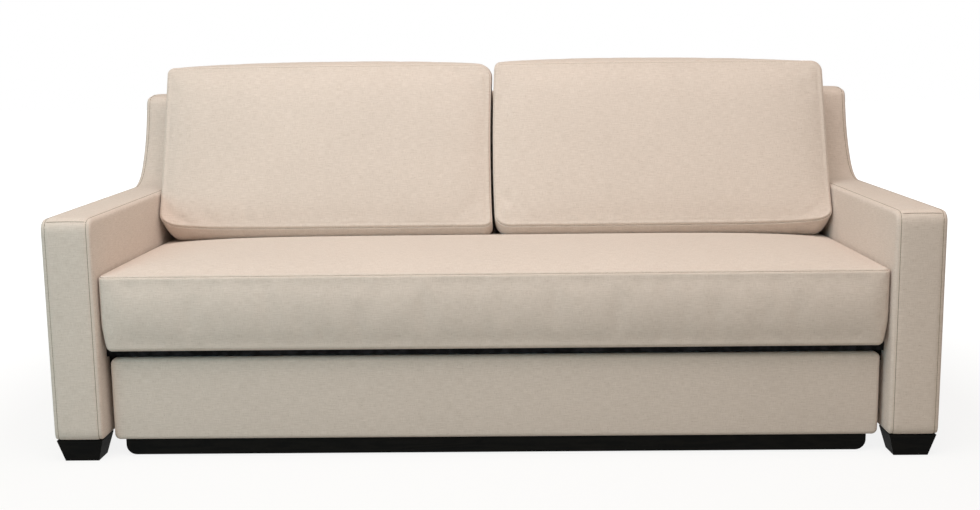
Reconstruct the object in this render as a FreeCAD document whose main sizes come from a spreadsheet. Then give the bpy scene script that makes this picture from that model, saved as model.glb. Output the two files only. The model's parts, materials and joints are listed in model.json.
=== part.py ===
import FreeCAD, Part
import math
import os
import re
import types
import Sketcher
from FreeCAD import Placement, Rotation, Vector

# Three-seat sleeper sofa: upholstered arms and back, loose cushions, and a low bed that
# rolls out from under the seat. Millimetres; X to the right, Y to the back, Z up.
# The origin is on the floor in the middle of the sofa's footprint.

# Driving dimensions
sizes = {
    # Whole sofa
    "sofaWidth": 2134,
    "sofaDepth": 980,
    "groundGap": 54,
    # Arms, with the wing that sweeps up to the back
    "armThick": 120,
    "armFrontTop": 595,
    "armRearTop": 604.5,
    "armNoseRadius": 25,
    "armEdgeRadius": 12,
    "armFootRadius": 14,
    "armPad": 20,
    "armSidePad": 14,
    "armRailWidth": 62,
    "armStileWidth": 55,
    "sweepStart": 704,
    "sweepLowRadius": 130,
    "sweepLowAngle": 52,
    "sweepHighRadius": 400,
    "sweepHighAngle": 75,
    "wingTop": 861,
    "wingSlope": 9,
    "wingCornerRadius": 22,
    # Back
    "backFoot": 742,
    "backRecline": 12.3,
    "backPanelDepth": 50,
    "backPad": 22,
    "backSkin": 6,
    "backRibThick": 24,
    "backRailHeight": 70,
    "backRailThick": 24,
    "backFrameRound": 4,
    "webThick": 2,
    "webWidth": 50,
    # Seat deck
    "deckFront": 60,
    "deckBottom": 250,
    "tubeWidth": 30,
    "tubeHeight": 20,
    "tubeWall": 1.5,
    "slatWidth": 60,
    "slatThick": 10,
    "slatHolderWall": 4,
    "slatHolderLip": 20,
    "clothThick": 1.5,
    "ledgeWidth": 30,
    "ledgeHeight": 30,
    "ledgeFrontPlay": 3,
    "deckPlay": 0.5,
    # Legs
    "legHeight": 54,
    "legTopWidth": 112,
    "legTopDepth": 84,
    "legBottomWidth": 82,
    "legBottomDepth": 62,
    "legSetback": 5,
    "legBoltLength": 88,
    "legBoltSink": 6,
    # Cushions
    "softGap": 0.3,
    "coverThick": 3,
    "leastCrown": 1,
    "undersideTrim": 2,
    "seatFront": 14,
    "seatHeight": 184,
    "seatCrown": 26,
    "seatCorner": 28,
    "seatEdge": 9,
    "seatFootRadius": 12,
    "seatFrontBulge": 7,
    "seatRearBulge": 3,
    "backCushionGap": 2,
    "backCushionFront": 520,
    "backCushionTop": 946,
    "backCushionTopFront": 702,
    "backCushionCrown": 24,
    "backCushionTopCrown": 7,
    "backCushionLowCrown": 0.5,
    "backCushionEdge": 14,
    "backCushionWelt": 26,
    "backCushionLowCorner": 70,
    "backCushionTopCorner": 30,
    "zipWidth": 14,
    "zipMargin": 120,
    "zipThick": 1.2,
    # Front panel and plinth of the bed
    "panelFront": 43,
    "panelBottom": 43,
    "panelTop": 247,
    "panelGap": 12,
    "panelPad": 12,
    "panelWrap": 4,
    "panelCorner": 14,
    "panelEdge": 9,
    "boardThick": 22,
    "plinthFront": 50,
    "plinthHalf": 908,
    "plinthBottom": 4,
    "plinthCorner": 25,
    # Bed frame
    "railThick": 24,
    "railBottom": 60,
    "railTop": 190,
    "frontRailBottom": 20,
    "frontRailTop": 200,
    "railStepIn": 8,
    "bedRear": 915,
    "bedLedgeHeight": 24,
    "bedLedgeTop": 100,
    "bedSlatWidth": 70,
    "bedSlatThick": 18,
    "beamWidth": 24,
    "cornerBlockLeg": 55,
    "cornerBlockHeight": 34,
    "mattressHeight": 104,
    "mattressCrown": 7,
    "mattressEdge": 16,
    "mattressCorner": 40,
    "mattressPlay": 2,
    "mattressBulge": 2,
    # Guides and stops
    "guideThick": 14,
    "guideBevel": 2,
    "bedPlay": 0.8,
    "guideHeight": 40,
    "guideBottom": 110,
    "guideStart": 100,
    "guideEnd": 900,
    "stopPlace": 700,
    "stopWidth": 40,
    "stopLength": 10,
    "stopDrop": 12,
    "catchTop": 246,
    "catchThick": 10,
    # Casters
    "wheelRadius": 25,
    "wheelWidth": 16,
    "hubRadius": 11,
    "hubStep": 1.2,
    "treadBevel": 2,
    "axleRadius": 4,
    "axlePlay": 0.05,
    "axleHead": 1.5,
    "cheekThick": 2.5,
    "cheekPlay": 0.6,
    "cheekLength": 34,
    "plateLength": 74,
    "casterInset": 60,
    "plateScrewInset": 9,
    # Fasteners
    "screwPlay": 0.05,
    "boltRadius": 4,
    "boltHeadRadius": 8,
    "boltHeadLength": 5,
    "screwRadius": 2.5,
    "screwHeadRadius": 4.5,
    "screwHeadLength": 3,
    "backBoltLow": 120,
    "backBoltMiddle": 290,
    "backBoltHigh": 535,
    "backBoltInset": 32,
    "backBoltGrip": 30,
    "ledgeScrewInset": 90,
    "ledgeScrewGrip": 28,
    "deckScrewInset": 40,
    "deckScrewCover": 6,
    "railScrewLow": 30,
    "railScrewHigh": 100,
    "railScrewGrip": 40,
    "panelBoltDrop": 35,
    "casterScrewGrip": 22,
}

# Numbers of repeated pieces
deckSlatCount = 12
bedSlatCount = 14
webCount = 8
ribCount = 5
armWindowCount = 4

# Sections of a cushion, as shares of its end radius and of its half width
nearShares = (0.04, 0.16, 0.45, 1, 2.2)
farShares = (0.3, 0.6)

doc = FreeCAD.newDocument("SleeperSofa")
sheet = doc.addObject("Spreadsheet::Sheet", "Sizes")
for row, (alias, number) in enumerate(sizes.items(), start=1):
    sheet.set(f"A{row}", alias)
    sheet.set(f"B{row}", str(number))
    sheet.setAlias(f"B{row}", alias)
doc.recompute()
d = types.SimpleNamespace(**{alias: float(sheet.get(alias)) for alias in sizes})

pieces = []

# Lengths used in many places, as formulas of the sheet's cells
front = "(-sofaDepth / 2)"
innerSide = "(sofaWidth / 2 - armThick)"
deckTop = "(deckBottom + tubeHeight)"
panelHalf = f"({innerSide} - panelGap)"
railFront = "(-sofaDepth / 2 + panelFront + panelPad + boardThick)"
railInner = f"({railFront} + railThick)"
bedBack = "(-sofaDepth / 2 + bedRear)"
bedBackInner = f"({bedBack} - railThick)"
bedHalf = f"({innerSide} - guideThick - bedPlay)"
bedInnerHalf = f"({bedHalf} - railThick)"


def bind(item, prop, text):
    """Bind a property to a formula written with the sheet's own words."""
    words = re.sub(r"[A-Za-z]\w*", lambda m: f"Sizes.{m[0]}" if m[0] in sizes else m[0], text)
    item.setExpression(prop, words)


def put(item, x="0", y="0", z="0"):
    """Bind the place of an object."""
    bind(item, "Placement.Base.x", x)
    bind(item, "Placement.Base.y", y)
    bind(item, "Placement.Base.z", z)


def keep(item, label):
    """Name a finished sub-part and list it for export."""
    item.Label = label
    pieces.append(item)
    return item


def block(name, x, y, z, length, width, height):
    """Make a box from its low corner and its three sizes."""
    item = doc.addObject("Part::Box", name)
    bind(item, "Length", length)
    bind(item, "Width", width)
    bind(item, "Height", height)
    put(item, x, y, z)
    return item


def rod(name, x, y, z, towards, radius, length):
    """Make a cylinder that starts at a point and runs along one axis."""
    item = doc.addObject("Part::Cylinder", name)
    bind(item, "Radius", radius)
    bind(item, "Height", length)
    axis = {"x": Vector(1, 0, 0), "y": Vector(0, 1, 0), "z": Vector(0, 0, 1)}[towards[1]]
    if towards[0] == "-":
        axis = -axis
    item.Placement = Placement(Vector(), Rotation(Vector(0, 0, 1), axis))
    put(item, x, y, z)
    return item


def joined(name, items):
    """Fuse objects into one solid."""
    item = doc.addObject("Part::MultiFuse", name)
    item.Shapes = items
    return item


def grouped(name, items):
    """Group separate solids in one object."""
    item = doc.addObject("Part::Compound", name)
    item.Links = items
    return item


def cut(name, base, tool):
    """Cut a tool out of a base."""
    item = doc.addObject("Part::Cut", name)
    item.Base = base
    item.Tool = tool
    return item


def fixed(name, shape):
    """Hold a shape that was made straight from the sheet's values."""
    item = doc.addObject("Part::Feature", name)
    item.Shape = shape
    return item


def fastener(name, place, towards, length, kind, play="0"):
    """Make a screw or bolt whose head lies flush at its place, or the hole that takes it."""
    x, y, z = place
    shank = rod(name + "Shank", x, y, z, towards, f"{kind}Radius + {play}", f"{length} + {play}")
    head = rod(name + "Head", x, y, z, towards, f"{kind}HeadRadius + {play}", f"{kind}HeadLength + {play}")
    return joined(name + "Whole", [shank, head])


def fasteners(label, places, length, kind):
    """Make a set of identical fasteners as one sub-part, and the set of holes for them."""
    made = []
    cuts = []
    for i, (place, way) in enumerate(places):
        made.append(fastener(f"{label}{i}", place, way, length, kind))
        cuts.append(fastener(f"{label}Hole{i}", place, way, length, kind, "screwPlay"))
    keep(grouped(label + "Set", made), label)
    return grouped(label + "Holes", cuts)


def newSketch(body, role, name):
    """Attach a sketch to one of the body's own origin planes."""
    plane = next(item for item in body.Origin.OriginFeatures if item.Role == role)
    sketch = body.newObject("Sketcher::SketchObject", name)
    sketch.AttachmentSupport = [(plane, "")]
    sketch.MapMode = "FlatFace"
    return sketch


def outline(sketch, points):
    """Draw a closed outline of straight lines, each corner bound to its two formulas."""
    spots = [Vector(10 * i + 5, 7 * (i % 3) + 5, 0) for i in range(len(points))]
    for i, spot in enumerate(spots):
        sketch.addGeometry(Part.LineSegment(spot, spots[(i + 1) % len(spots)]), False)
    for i in range(len(points)):
        sketch.addConstraint(Sketcher.Constraint("Coincident", i, 2, (i + 1) % len(points), 1))
    for i, pair in enumerate(points):
        for text, way, axis in zip(pair, ("DistanceX", "DistanceY"), (-2, -1)):
            if text == "0":
                sketch.addConstraint(Sketcher.Constraint("PointOnObject", i, 1, axis))
            else:
                number = sketch.addConstraint(Sketcher.Constraint(way, -1, 1, i, 1, 5.0))
                bind(sketch, f"Constraints[{number}]", text)


def circle(sketch, x, y, radius):
    """Draw a circle bound to its centre and radius."""
    sketch.addGeometry(Part.Circle(Vector(5, 5, 0), Vector(0, 0, 1), 2), False)
    for way, text in (("DistanceX", x), ("DistanceY", y)):
        number = sketch.addConstraint(Sketcher.Constraint(way, -1, 1, 0, 3, 5.0))
        bind(sketch, f"Constraints[{number}]", text)
    number = sketch.addConstraint(Sketcher.Constraint("Radius", 0, 2.0))
    bind(sketch, f"Constraints[{number}]", radius)


def padded(name, role, points, length, back=False):
    """Pad an outline into a body."""
    body = doc.addObject("PartDesign::Body", name)
    sketch = newSketch(body, role, name + "Outline")
    outline(sketch, points)
    pad = body.newObject("PartDesign::Pad", name + "Pad")
    pad.Profile = sketch
    pad.Reversed = back
    bind(pad, "Length", length)
    return body


def rectangle(x, y, width, depth):
    """List the corners of a rectangle as formulas."""
    right = width if x == "0" else f"{x} + {width}"
    top = depth if y == "0" else f"{y} + {depth}"
    return [(x, y), (right, y), (right, top), (x, top)]


# Outlines in the side view, where a point is (Y from the sofa's front, Z)


def side(y, z):
    """Turn a side-view point into a point of the model at X = 0."""
    return Vector(0, y - d.sofaDepth / 2, z)


def roundedOutline(corners):
    """Join corners (y, z, radius, bulge of the next side) into a closed wire with round corners."""
    count = len(corners)
    spots = [side(y, z) for y, z, radius, bulge in corners]
    rounds = []
    for i, (y, z, radius, bulge) in enumerate(corners):
        before = (spots[i - 1] - spots[i]).normalize()
        after = (spots[(i + 1) % count] - spots[i]).normalize()
        half = before.getAngle(after) / 2
        reach = radius / math.tan(half)
        middle = spots[i] + (before + after).normalize() * (radius / math.sin(half) - radius)
        rounds.append((spots[i] + before * reach, middle, spots[i] + after * reach))
    edges = []
    for i, (first, middle, last) in enumerate(rounds):
        edges.append(Part.Arc(first, middle, last).toShape())
        target = rounds[(i + 1) % count][0]
        bulge = corners[i][3]
        if bulge:
            run = target - last
            crest = (last + target) / 2 + Vector(0, -run.z, run.y).normalize() * bulge
            edges.append(Part.Arc(last, crest, target).toShape())
        else:
            edges.append(Part.LineSegment(last, target).toShape())
    return Part.Wire(edges)


def wingPath(inset):
    """Find the arm's top and sweep, moved in by the padding: points and the two arcs."""
    rise = math.atan2(d.armRearTop - d.armFrontTop, d.sweepStart)
    angles = [rise, math.radians(d.sweepLowAngle), math.radians(d.sweepHighAngle)]

    def onArc(centre, radius, angle):
        return centre + Vector(0, math.sin(angle), -math.cos(angle)) * radius

    lowCentre = side(d.sweepStart, d.armRearTop) - onArc(Vector(), d.sweepLowRadius, rise)
    highCentre = onArc(lowCentre, d.sweepLowRadius - d.sweepHighRadius, angles[1])
    low = d.sweepLowRadius + inset
    high = d.sweepHighRadius + inset
    middles = [(angles[0] + angles[1]) / 2, (angles[1] + angles[2]) / 2]
    points = [onArc(lowCentre, low, angles[0]), onArc(lowCentre, low, middles[0]),
              onArc(lowCentre, low, angles[1]), onArc(highCentre, high, middles[1]),
              onArc(highCentre, high, angles[2])]
    return points, angles


def meet(point, angle, other, otherAngle):
    """Find where two lines of the side view meet."""
    a = Vector(0, math.cos(angle), math.sin(angle))
    b = Vector(0, math.cos(otherAngle), math.sin(otherAngle))
    gap = other - point
    along = (gap.y * b.z - gap.z * b.y) / (a.y * b.z - a.z * b.y)
    return point + a * along


def cornerArc(corner, before, after, radius):
    """Round a corner between two directions: first, middle and last point of the arc."""
    half = before.getAngle(after) / 2
    reach = radius / math.tan(half)
    middle = corner + (before + after).normalize() * (radius / math.sin(half) - radius)
    return corner + before * reach, middle, corner + after * reach


def armOutline(inset, low):
    """Draw the arm and wing in the side view, moved in by the padding on all but its foot."""
    points, angles = wingPath(inset)
    slope = math.radians(d.wingSlope)
    face = math.pi / 2
    ridge = side(points[4].y + d.sofaDepth / 2, 0)
    ridge = meet(points[4], angles[2], side(d.sofaDepth, wingRidge() - inset / math.cos(slope)), slope)
    nose = meet(side(inset, 0), face, points[0], angles[0])
    tail = side(d.sofaDepth - inset, wingRidge() - (inset + inset * math.sin(slope)) / math.cos(slope))
    heel = side(d.sofaDepth - inset, low)
    toe = side(inset, low)
    foot = max(d.armFootRadius - inset, d.backFrameRound / 2)
    brow = max(d.armNoseRadius - inset, d.backFrameRound)
    wing = max(d.wingCornerRadius - inset, d.backFrameRound)
    corners = [(toe, foot), (nose, brow), (ridge, wing), (tail, wing), (heel, foot)]
    ways = [(heel, nose), (toe, points[0]), (points[4], tail), (ridge, heel), (tail, toe)]
    arcs = []
    for (corner, radius), (last, after) in zip(corners, ways):
        arcs.append(cornerArc(corner, (last - corner).normalize(), (after - corner).normalize(), radius))
    edges = []

    def add(a, b):
        edges.append(Part.LineSegment(a, b).toShape())

    for i, (first, middle, last) in enumerate(arcs):
        edges.append(Part.Arc(first, middle, last).toShape())
        if i == 1:
            add(last, points[0])
            edges.append(Part.Arc(points[0], points[1], points[2]).toShape())
            edges.append(Part.Arc(points[2], points[3], points[4]).toShape())
            last = points[4]
        add(last, arcs[(i + 1) % len(arcs)][0])
    return Part.Wire(edges)


def wingRidge():
    """Height that the wing's top line reaches at the back face."""
    points, angles = wingPath(0)
    crown = points[4] + Vector(0, 1 / math.tan(angles[2]), 1) * (d.wingTop - points[4].z)
    return d.wingTop + (d.sofaDepth / 2 - crown.y) * math.tan(math.radians(d.wingSlope))


def slab(wire, low, high):
    """Extrude a side-view wire between two X values."""
    shape = Part.Face(wire).extrude(Vector(high - low, 0, 0))
    shape.translate(Vector(low, 0, 0))
    return shape


def hollow(shape, *tools):
    """Cut several shapes out of one."""
    for tool in tools:
        shape = shape.cut(tool)
    return shape


# Arms: a padded cover over a timber frame, one for each side
armInner = d.sofaWidth / 2 - d.armThick
frameLow = armInner + d.armSidePad
frameHigh = d.sofaWidth / 2 - d.armSidePad


def mirrored(shape):
    """Mirror a right-hand piece to the left side."""
    return shape.mirror(Vector(), Vector(1, 0, 0))


def armCover():
    """Right-hand arm cover: rounded outside, open below for the frame."""
    solid = slab(armOutline(0, d.groundGap), armInner, d.sofaWidth / 2)
    edges = [edge for edge in solid.Edges if edge.BoundBox.XLength < 1e-6]
    solid = solid.makeFillet(d.armEdgeRadius, edges)
    room = slab(armOutline(d.armPad, d.groundGap), frameLow, frameHigh)
    return hollow(solid, room)


def armFrame():
    """Right-hand timber frame: it follows the arm and wing, with windows between its stiles."""
    panel = slab(armOutline(d.armPad, d.groundGap), frameLow, frameHigh)
    span = d.sofaDepth - 2 * (d.armPad + d.armRailWidth)
    width = (span + d.armStileWidth) / armWindowCount - d.armStileWidth
    height = d.armFrontTop - d.groundGap - d.armPad - 2 * d.armRailWidth
    for i in range(armWindowCount):
        low = d.armPad + d.armRailWidth + i * (width + d.armStileWidth)
        corner = side(low, d.groundGap + d.armRailWidth) + Vector(frameLow, 0, 0)
        panel = panel.cut(Part.makeBox(frameHigh - frameLow, width, height, corner))
    return panel


# Back: a padded cover over timber ribs and rails
def backLine(z):
    """Depth of the inside back at a height."""
    return d.backFoot + (z - d.deckBottom) * math.tan(math.radians(d.backRecline))


def backOutline(pad, skin):
    """Draw the back in the side view, moved in by the padding in front and the skin elsewhere."""
    slope = math.tan(math.radians(d.wingSlope))
    lean = math.radians(d.backRecline)
    inset = pad / math.cos(lean)
    top = wingRidge() - pad
    height = (top - slope * d.sofaDepth + slope * (backLine(0) + inset)) / (1 - slope * math.tan(lean))
    small = d.backFrameRound
    radius = max(d.wingCornerRadius - pad, small)
    under = d.deckBottom + skin
    panel = d.sofaDepth - d.backPanelDepth + skin
    rear = d.sofaDepth - skin
    return roundedOutline([
        (rear, d.groundGap + skin, small, 0),
        (panel, d.groundGap + skin, small, 0),
        (panel, under, small, 0),
        (backLine(under) + inset, under, small, 0),
        (backLine(height) + inset, height, radius, 0),
        (rear, top - slope * skin, radius, 0),
    ])


def backCover():
    """Back cover between the arms, closed all round."""
    solid = slab(backOutline(0, 0), -armInner, armInner)
    room = slab(backOutline(d.backPad, d.backSkin), -armInner + d.backSkin, armInner - d.backSkin)
    return hollow(solid, room)


def ribPlaces():
    """X of each rib's low face, evenly spaced between the back's two end skins."""
    low = -armInner + d.backSkin
    pitch = (-2 * low - d.backRibThick) / (ribCount - 1)
    return [low + i * pitch for i in range(ribCount)]


def backFrame():
    """Ribs that give the back its lean, held by a top rail, a seat rail and a foot rail."""
    span = armInner - d.backSkin
    room = slab(backOutline(d.backPad, d.backSkin), -span, span)
    parts = []
    for low in ribPlaces():
        corner = Vector(low, -d.sofaDepth / 2, 0)
        parts.append(Part.makeBox(d.backRibThick, d.sofaDepth, d.sofaDepth, corner).common(room))
    behindWeb = room.copy()
    behindWeb.translate(Vector(0, webRoom(), 0))
    behindWeb = behindWeb.common(room)
    foot = d.groundGap + d.backSkin
    seat = d.deckBottom + d.backSkin
    top = wingRidge() - 2 * d.backRailHeight
    for low, depth in ((foot, d.sofaDepth), (seat, d.backRailThick), (top, d.sofaDepth)):
        start = 0 if depth == d.sofaDepth else backLine(low) + d.backPad + webRoom()
        width = depth if depth == d.sofaDepth else 2 * d.backRailThick
        rail = Part.makeBox(2 * span, width, d.backRailHeight, side(start, low) - Vector(span, 0, 0))
        parts.append(rail.common(behindWeb))
    return parts[0].multiFuse(parts[1:]).removeSplitter()


def webRoom():
    """Depth that a webbing strap takes in front of the rails."""
    return d.webThick / math.cos(math.radians(d.backRecline)) + d.softGap


def backWebbing():
    """Upright elastic straps across the inside back, between the ribs."""
    lean = math.radians(d.backRecline)
    low = d.deckBottom + d.backSkin + d.backRailHeight / 4
    high = wingRidge() - 1.25 * d.backRailHeight
    places = ribPlaces()
    perBay = webCount // (ribCount - 1)
    straps = []
    for left, right in zip(places, places[1:]):
        clear = right - left - d.backRibThick
        pitch = clear / perBay
        for i in range(perBay):
            middle = left + d.backRibThick + (i + 0.5) * pitch
            strap = Part.makeBox(d.webWidth, d.webThick, (high - low) / math.cos(lean))
            strap.translate(Vector(-d.webWidth / 2, d.softGap / 2, 0))
            strap.rotate(Vector(), Vector(1, 0, 0), -d.backRecline)
            foot = side(backLine(low) + d.backPad / math.cos(lean), low)
            strap.translate(foot + Vector(middle, 0, 0))
            straps.append(strap)
    return Part.makeCompound(straps)


# Cushions: lofts through side-view sections


def easedIn(radius, depth):
    """How far a rounded end has drawn in at a depth from its tip."""
    if depth >= radius:
        return 0.0
    return radius - math.sqrt(radius ** 2 - (radius - depth) ** 2)


def stations(half, radius):
    """Depths from one end, and signs, of the sections along a cushion."""
    depths = sorted([share * radius for share in nearShares] + [share * half for share in farShares])
    left = [(-1, depth) for depth in depths]
    right = [(1, depth) for depth in reversed(depths)]
    return left + [(1, half)] + right


def lofted(section, middle, half, radius):
    """Loft a section function (depth from the end, share of the crown) along X."""
    wires = []
    for sign, depth in stations(half, radius):
        x = middle + sign * (half - depth)
        share = 1 - (1 - depth / half) ** 3
        wire = roundedOutline(section(depth, share))
        wire.translate(Vector(x, 0, 0))
        wires.append(wire)
    return Part.makeLoft(wires, True, False)


def boxed(front, back, low, high, half, corner, edge, crown, foot, swell, inset):
    """Make a crowned boxed cushion, flat below, whose front and back swell, moved in by the inset."""

    def section(depth, share):
        drawn = easedIn(corner, depth)
        drop = easedIn(edge, depth)
        grown = (1 + 2 * share) / 3
        under = low - d.undersideTrim + inset + drop
        return [(front + inset + drawn, under, foot, swell[0] * grown),
                (front + inset + drawn, high - inset - drop, edge, d.leastCrown + crown * share),
                (back - inset - drawn, high - inset - drop, edge, swell[1] * grown),
                (back - inset - drawn, under, foot, 0)]

    below = Part.makeBox(d.sofaWidth, d.sofaDepth, low + inset, side(0, 0) - Vector(d.sofaWidth / 2, 0, 0))
    return lofted(section, 0, half - inset, corner).cut(below)


def backCushion(sign, inset=0.0):
    """Make one leaning back cushion, crowned in front, flat behind and below."""
    half = (armInner - d.softGap - d.backCushionGap / 2) / 2 - d.softGap
    middle = sign * (half + d.softGap + d.backCushionGap / 2)
    frontRest, rearRest = cushionRest()
    low = frontRest + inset
    lean = (d.backCushionTopFront - d.backCushionFront) / (d.backCushionTop - seatTop())

    def frontLine(z):
        return d.backCushionFront + (z - seatTop()) * lean + inset

    def section(depth, share):
        rise = easedIn(d.backCushionLowCorner, depth)
        drop = easedIn(d.backCushionTopCorner, depth)
        drawn = easedIn(d.backCushionEdge, depth)
        high = d.backCushionTop - inset - drop
        seam = low + d.backCushionWelt + rise
        rear = high - d.backCushionEdge
        rest = low + rise + rearRest - frontRest
        behind = backLine(rest) - d.softGap - inset
        behindTop = backLine(rear) - d.softGap - inset
        crown = d.leastCrown + d.backCushionCrown * share
        topCrown = d.leastCrown + d.backCushionTopCrown * share
        edge = d.backCushionEdge
        return [(frontLine(low + rise) + d.backCushionWelt, low + rise, edge, d.backCushionLowCrown),
                (frontLine(seam) + drawn, seam, edge / 2, crown),
                (frontLine(high) + drawn, high, edge, topCrown),
                (behindTop - drawn, rear, edge, 0),
                (behind - drawn, rest, edge, 0)]

    return lofted(section, middle, half - inset, d.backCushionLowCorner)


def seatLow():
    """Height of the seat cushion's underside."""
    return d.deckBottom + d.tubeHeight + d.clothThick + d.softGap


def seatTop():
    """Height of the seat cushion's crown."""
    return seatLow() + d.seatHeight + d.seatCrown + d.leastCrown


def seatRear():
    """Depth of the seat cushion's back seam, where it meets the inside back."""
    return backLine(seatLow()) - d.seatRearBulge - d.softGap


def cushionRest():
    """Heights of a back cushion's underside in front and behind, clear of the seat's crown."""
    middle = (d.seatFront + seatRear()) / 2
    half = (seatRear() - d.seatFront) / 2
    crown = d.seatCrown + d.leastCrown
    first = d.backCushionFront + d.backCushionWelt
    last = seatRear() - d.backCushionEdge
    belly = crown * ((last - first) / 2 / half) ** 2
    heights = [seatTop() - crown * ((place - middle) / half) ** 2 for place in (first, last)]
    return [height + belly + 3 * d.softGap for height in heights]


def seatCushion(inset=0.0):
    """Make the seat cushion, flat where it rests on the deck."""
    low = seatLow()
    return boxed(d.seatFront, seatRear(), low, low + d.seatHeight, armInner - 2 * d.softGap, d.seatCorner,
                 d.seatEdge, d.seatCrown, d.seatFootRadius, (d.seatFrontBulge, d.seatRearBulge), inset)


def panelPad():
    """Front panel cover: padded in front, wrapped round the board's edges, open behind."""
    half = armInner - d.panelGap
    height = d.panelTop - d.panelBottom
    depth = d.panelPad + d.boardThick
    form = Part.makeBox(2 * half, depth, height, side(d.panelFront, d.panelBottom) - Vector(half, 0, 0))
    corners = [edge for edge in form.Edges if edge.BoundBox.YLength > depth / 2]
    form = form.makeFillet(d.panelCorner, corners)
    rim = [edge for edge in form.Edges if edge.BoundBox.YMax < d.panelFront - d.sofaDepth / 2 + 0.01]
    form = form.makeFillet(d.panelEdge, rim)
    room = Part.makeBox(2 * (half - d.panelWrap), depth, height - 2 * d.panelWrap,
                        side(d.panelFront + d.panelPad, d.panelBottom + d.panelWrap)
                        - Vector(half - d.panelWrap, 0, 0))
    return form.cut(room)


def mattress(inset=0.0):
    """Make the bed's mattress, flat below."""
    margin = d.mattressPlay + d.mattressBulge
    front = d.panelFront + d.panelPad + d.boardThick + d.railThick + margin
    back = d.bedRear - d.railThick - margin
    low = d.bedLedgeTop + d.bedSlatThick + d.softGap
    half = armInner - d.guideThick - d.bedPlay - d.railThick - d.mattressPlay
    return boxed(front, back, low, low + d.mattressHeight, half, d.mattressCorner, d.mattressEdge,
                 d.mattressCrown, d.mattressEdge, (d.mattressBulge, d.mattressBulge), inset)


def backFace():
    """Lower and upper ends of a back cushion's rear face, as side-view points."""
    rest = cushionRest()[1]
    rear = d.backCushionTop - d.backCushionEdge
    return side(backLine(rest) - d.softGap, rest), side(backLine(rear) - d.softGap, rear)


def zipTape(low, high, middle, length, outside=0.0):
    """Make a zip tape halfway up a rear face between two side-view points, or the room that it takes."""
    corner = Vector(-length / 2, -d.zipThick, -d.zipWidth / 2)
    tape = Part.makeBox(length, d.zipThick + outside, d.zipWidth, corner)
    tape.rotate(Vector(), Vector(1, 0, 0), -math.degrees(math.atan2(high.y - low.y, high.z - low.z)))
    tape.translate((low + high) / 2 + Vector(middle, 0, 0))
    return tape


# Fastener sets come first, because the pieces that they hold are drilled for them
sides = (("left", "-"), ("right", ""))


def sideX(sign, text):
    """Formula of an X place on one side of the sofa."""
    return f"{sign}({text})"


def inwards(sign):
    """Direction from one side of the sofa to its middle."""
    return "-x" if sign == "" else "+x"


def outwards(sign):
    """Direction from the middle of the sofa to one side."""
    return "+x" if sign == "" else "-x"


legMiddle = "(sofaWidth / 2 - armThick / 2)"
legFrontMiddle = f"({front} + legSetback + legTopDepth / 2)"
legRearMiddle = "(sofaDepth / 2 - legSetback - legTopDepth / 2)"
legPlaces = [
    (end, name, sign, y)
    for end, y in (("front", legFrontMiddle), ("rear", legRearMiddle))
    for name, sign in sides
]
legHoles = fasteners(
    "leg_bolts",
    [((sideX(sign, legMiddle), y, "legBoltSink"), "+z") for end, name, sign, y in legPlaces],
    "legBoltLength", "bolt")

backHoles = fasteners(
    "back_bolts",
    [((sideX(sign, f"{innerSide} + armSidePad + backBoltGrip"), "sofaDepth / 2 - backBoltInset", height),
      inwards(sign))
     for name, sign in sides for height in ("backBoltLow", "backBoltMiddle", "backBoltHigh")],
    "armSidePad + backBoltGrip + backSkin + backRibThick", "bolt")

ledgeLow = "(deckBottom - ledgeHeight)"
ledgeInner = f"({innerSide} - ledgeWidth)"
ledgeFront = f"({front} + panelFront + panelPad + boardThick + ledgeFrontPlay)"
deckBack = f"({front} + backFoot)"
ledgeHoles = fasteners(
    "ledge_screws",
    [((sideX(sign, ledgeInner), f"{front} + {place}", f"{ledgeLow} + ledgeHeight / 2"), outwards(sign))
     for name, sign in sides
     for place in ("deckFront + ledgeScrewInset", "backFoot / 2", "backFoot - ledgeScrewInset")],
    "ledgeWidth + armSidePad + ledgeScrewGrip", "screw")

tubeMiddle = f"({innerSide} - deckPlay - tubeWidth / 2)"
deckHoles = fasteners(
    "deck_screws",
    [((sideX(sign, tubeMiddle), f"{front} + {place}", deckTop), "-z")
     for name, sign in sides
     for place in ("deckFront + tubeWidth + deckScrewInset", "backFoot - tubeWidth - deckScrewInset")],
    "tubeHeight + ledgeHeight - deckScrewCover", "screw")

railMiddle = f"({bedHalf} - railThick / 2)"
railHoles = fasteners(
    "rail_screws",
    [((sideX(sign, railMiddle), y, f"railBottom + {height}"), way)
     for name, sign in sides
     for y, way in ((railFront, "+y"), (bedBack, "-y"))
     for height in ("railScrewLow", "railScrewHigh")],
    "railThick + railScrewGrip", "screw")

panelHoles = fasteners(
    "panel_bolts",
    [((f"{share} * {panelHalf}", railInner, "railTop - panelBoltDrop"), "-y")
     for share in ("-0.8", "-0.3", "0.3", "0.8")],
    "railThick + boardThick / 2", "bolt")

casterFront = f"({railInner} + casterInset)"
casterRear = f"({bedBackInner} - casterInset)"
casterPlaces = [
    (end, name, sign, y)
    for end, y in (("front", casterFront), ("rear", casterRear))
    for name, sign in sides
]
plateBottom = "(railBottom - cheekThick)"
casterHoles = fasteners(
    "caster_screws",
    [((sideX(sign, railMiddle), f"{y} {shift} (plateLength / 2 - plateScrewInset)",
       f"{plateBottom} - screwHeadLength"), "+z")
     for end, name, sign, y in casterPlaces for shift in ("-", "+")],
    "screwHeadLength + cheekThick + casterScrewGrip", "screw")


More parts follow.
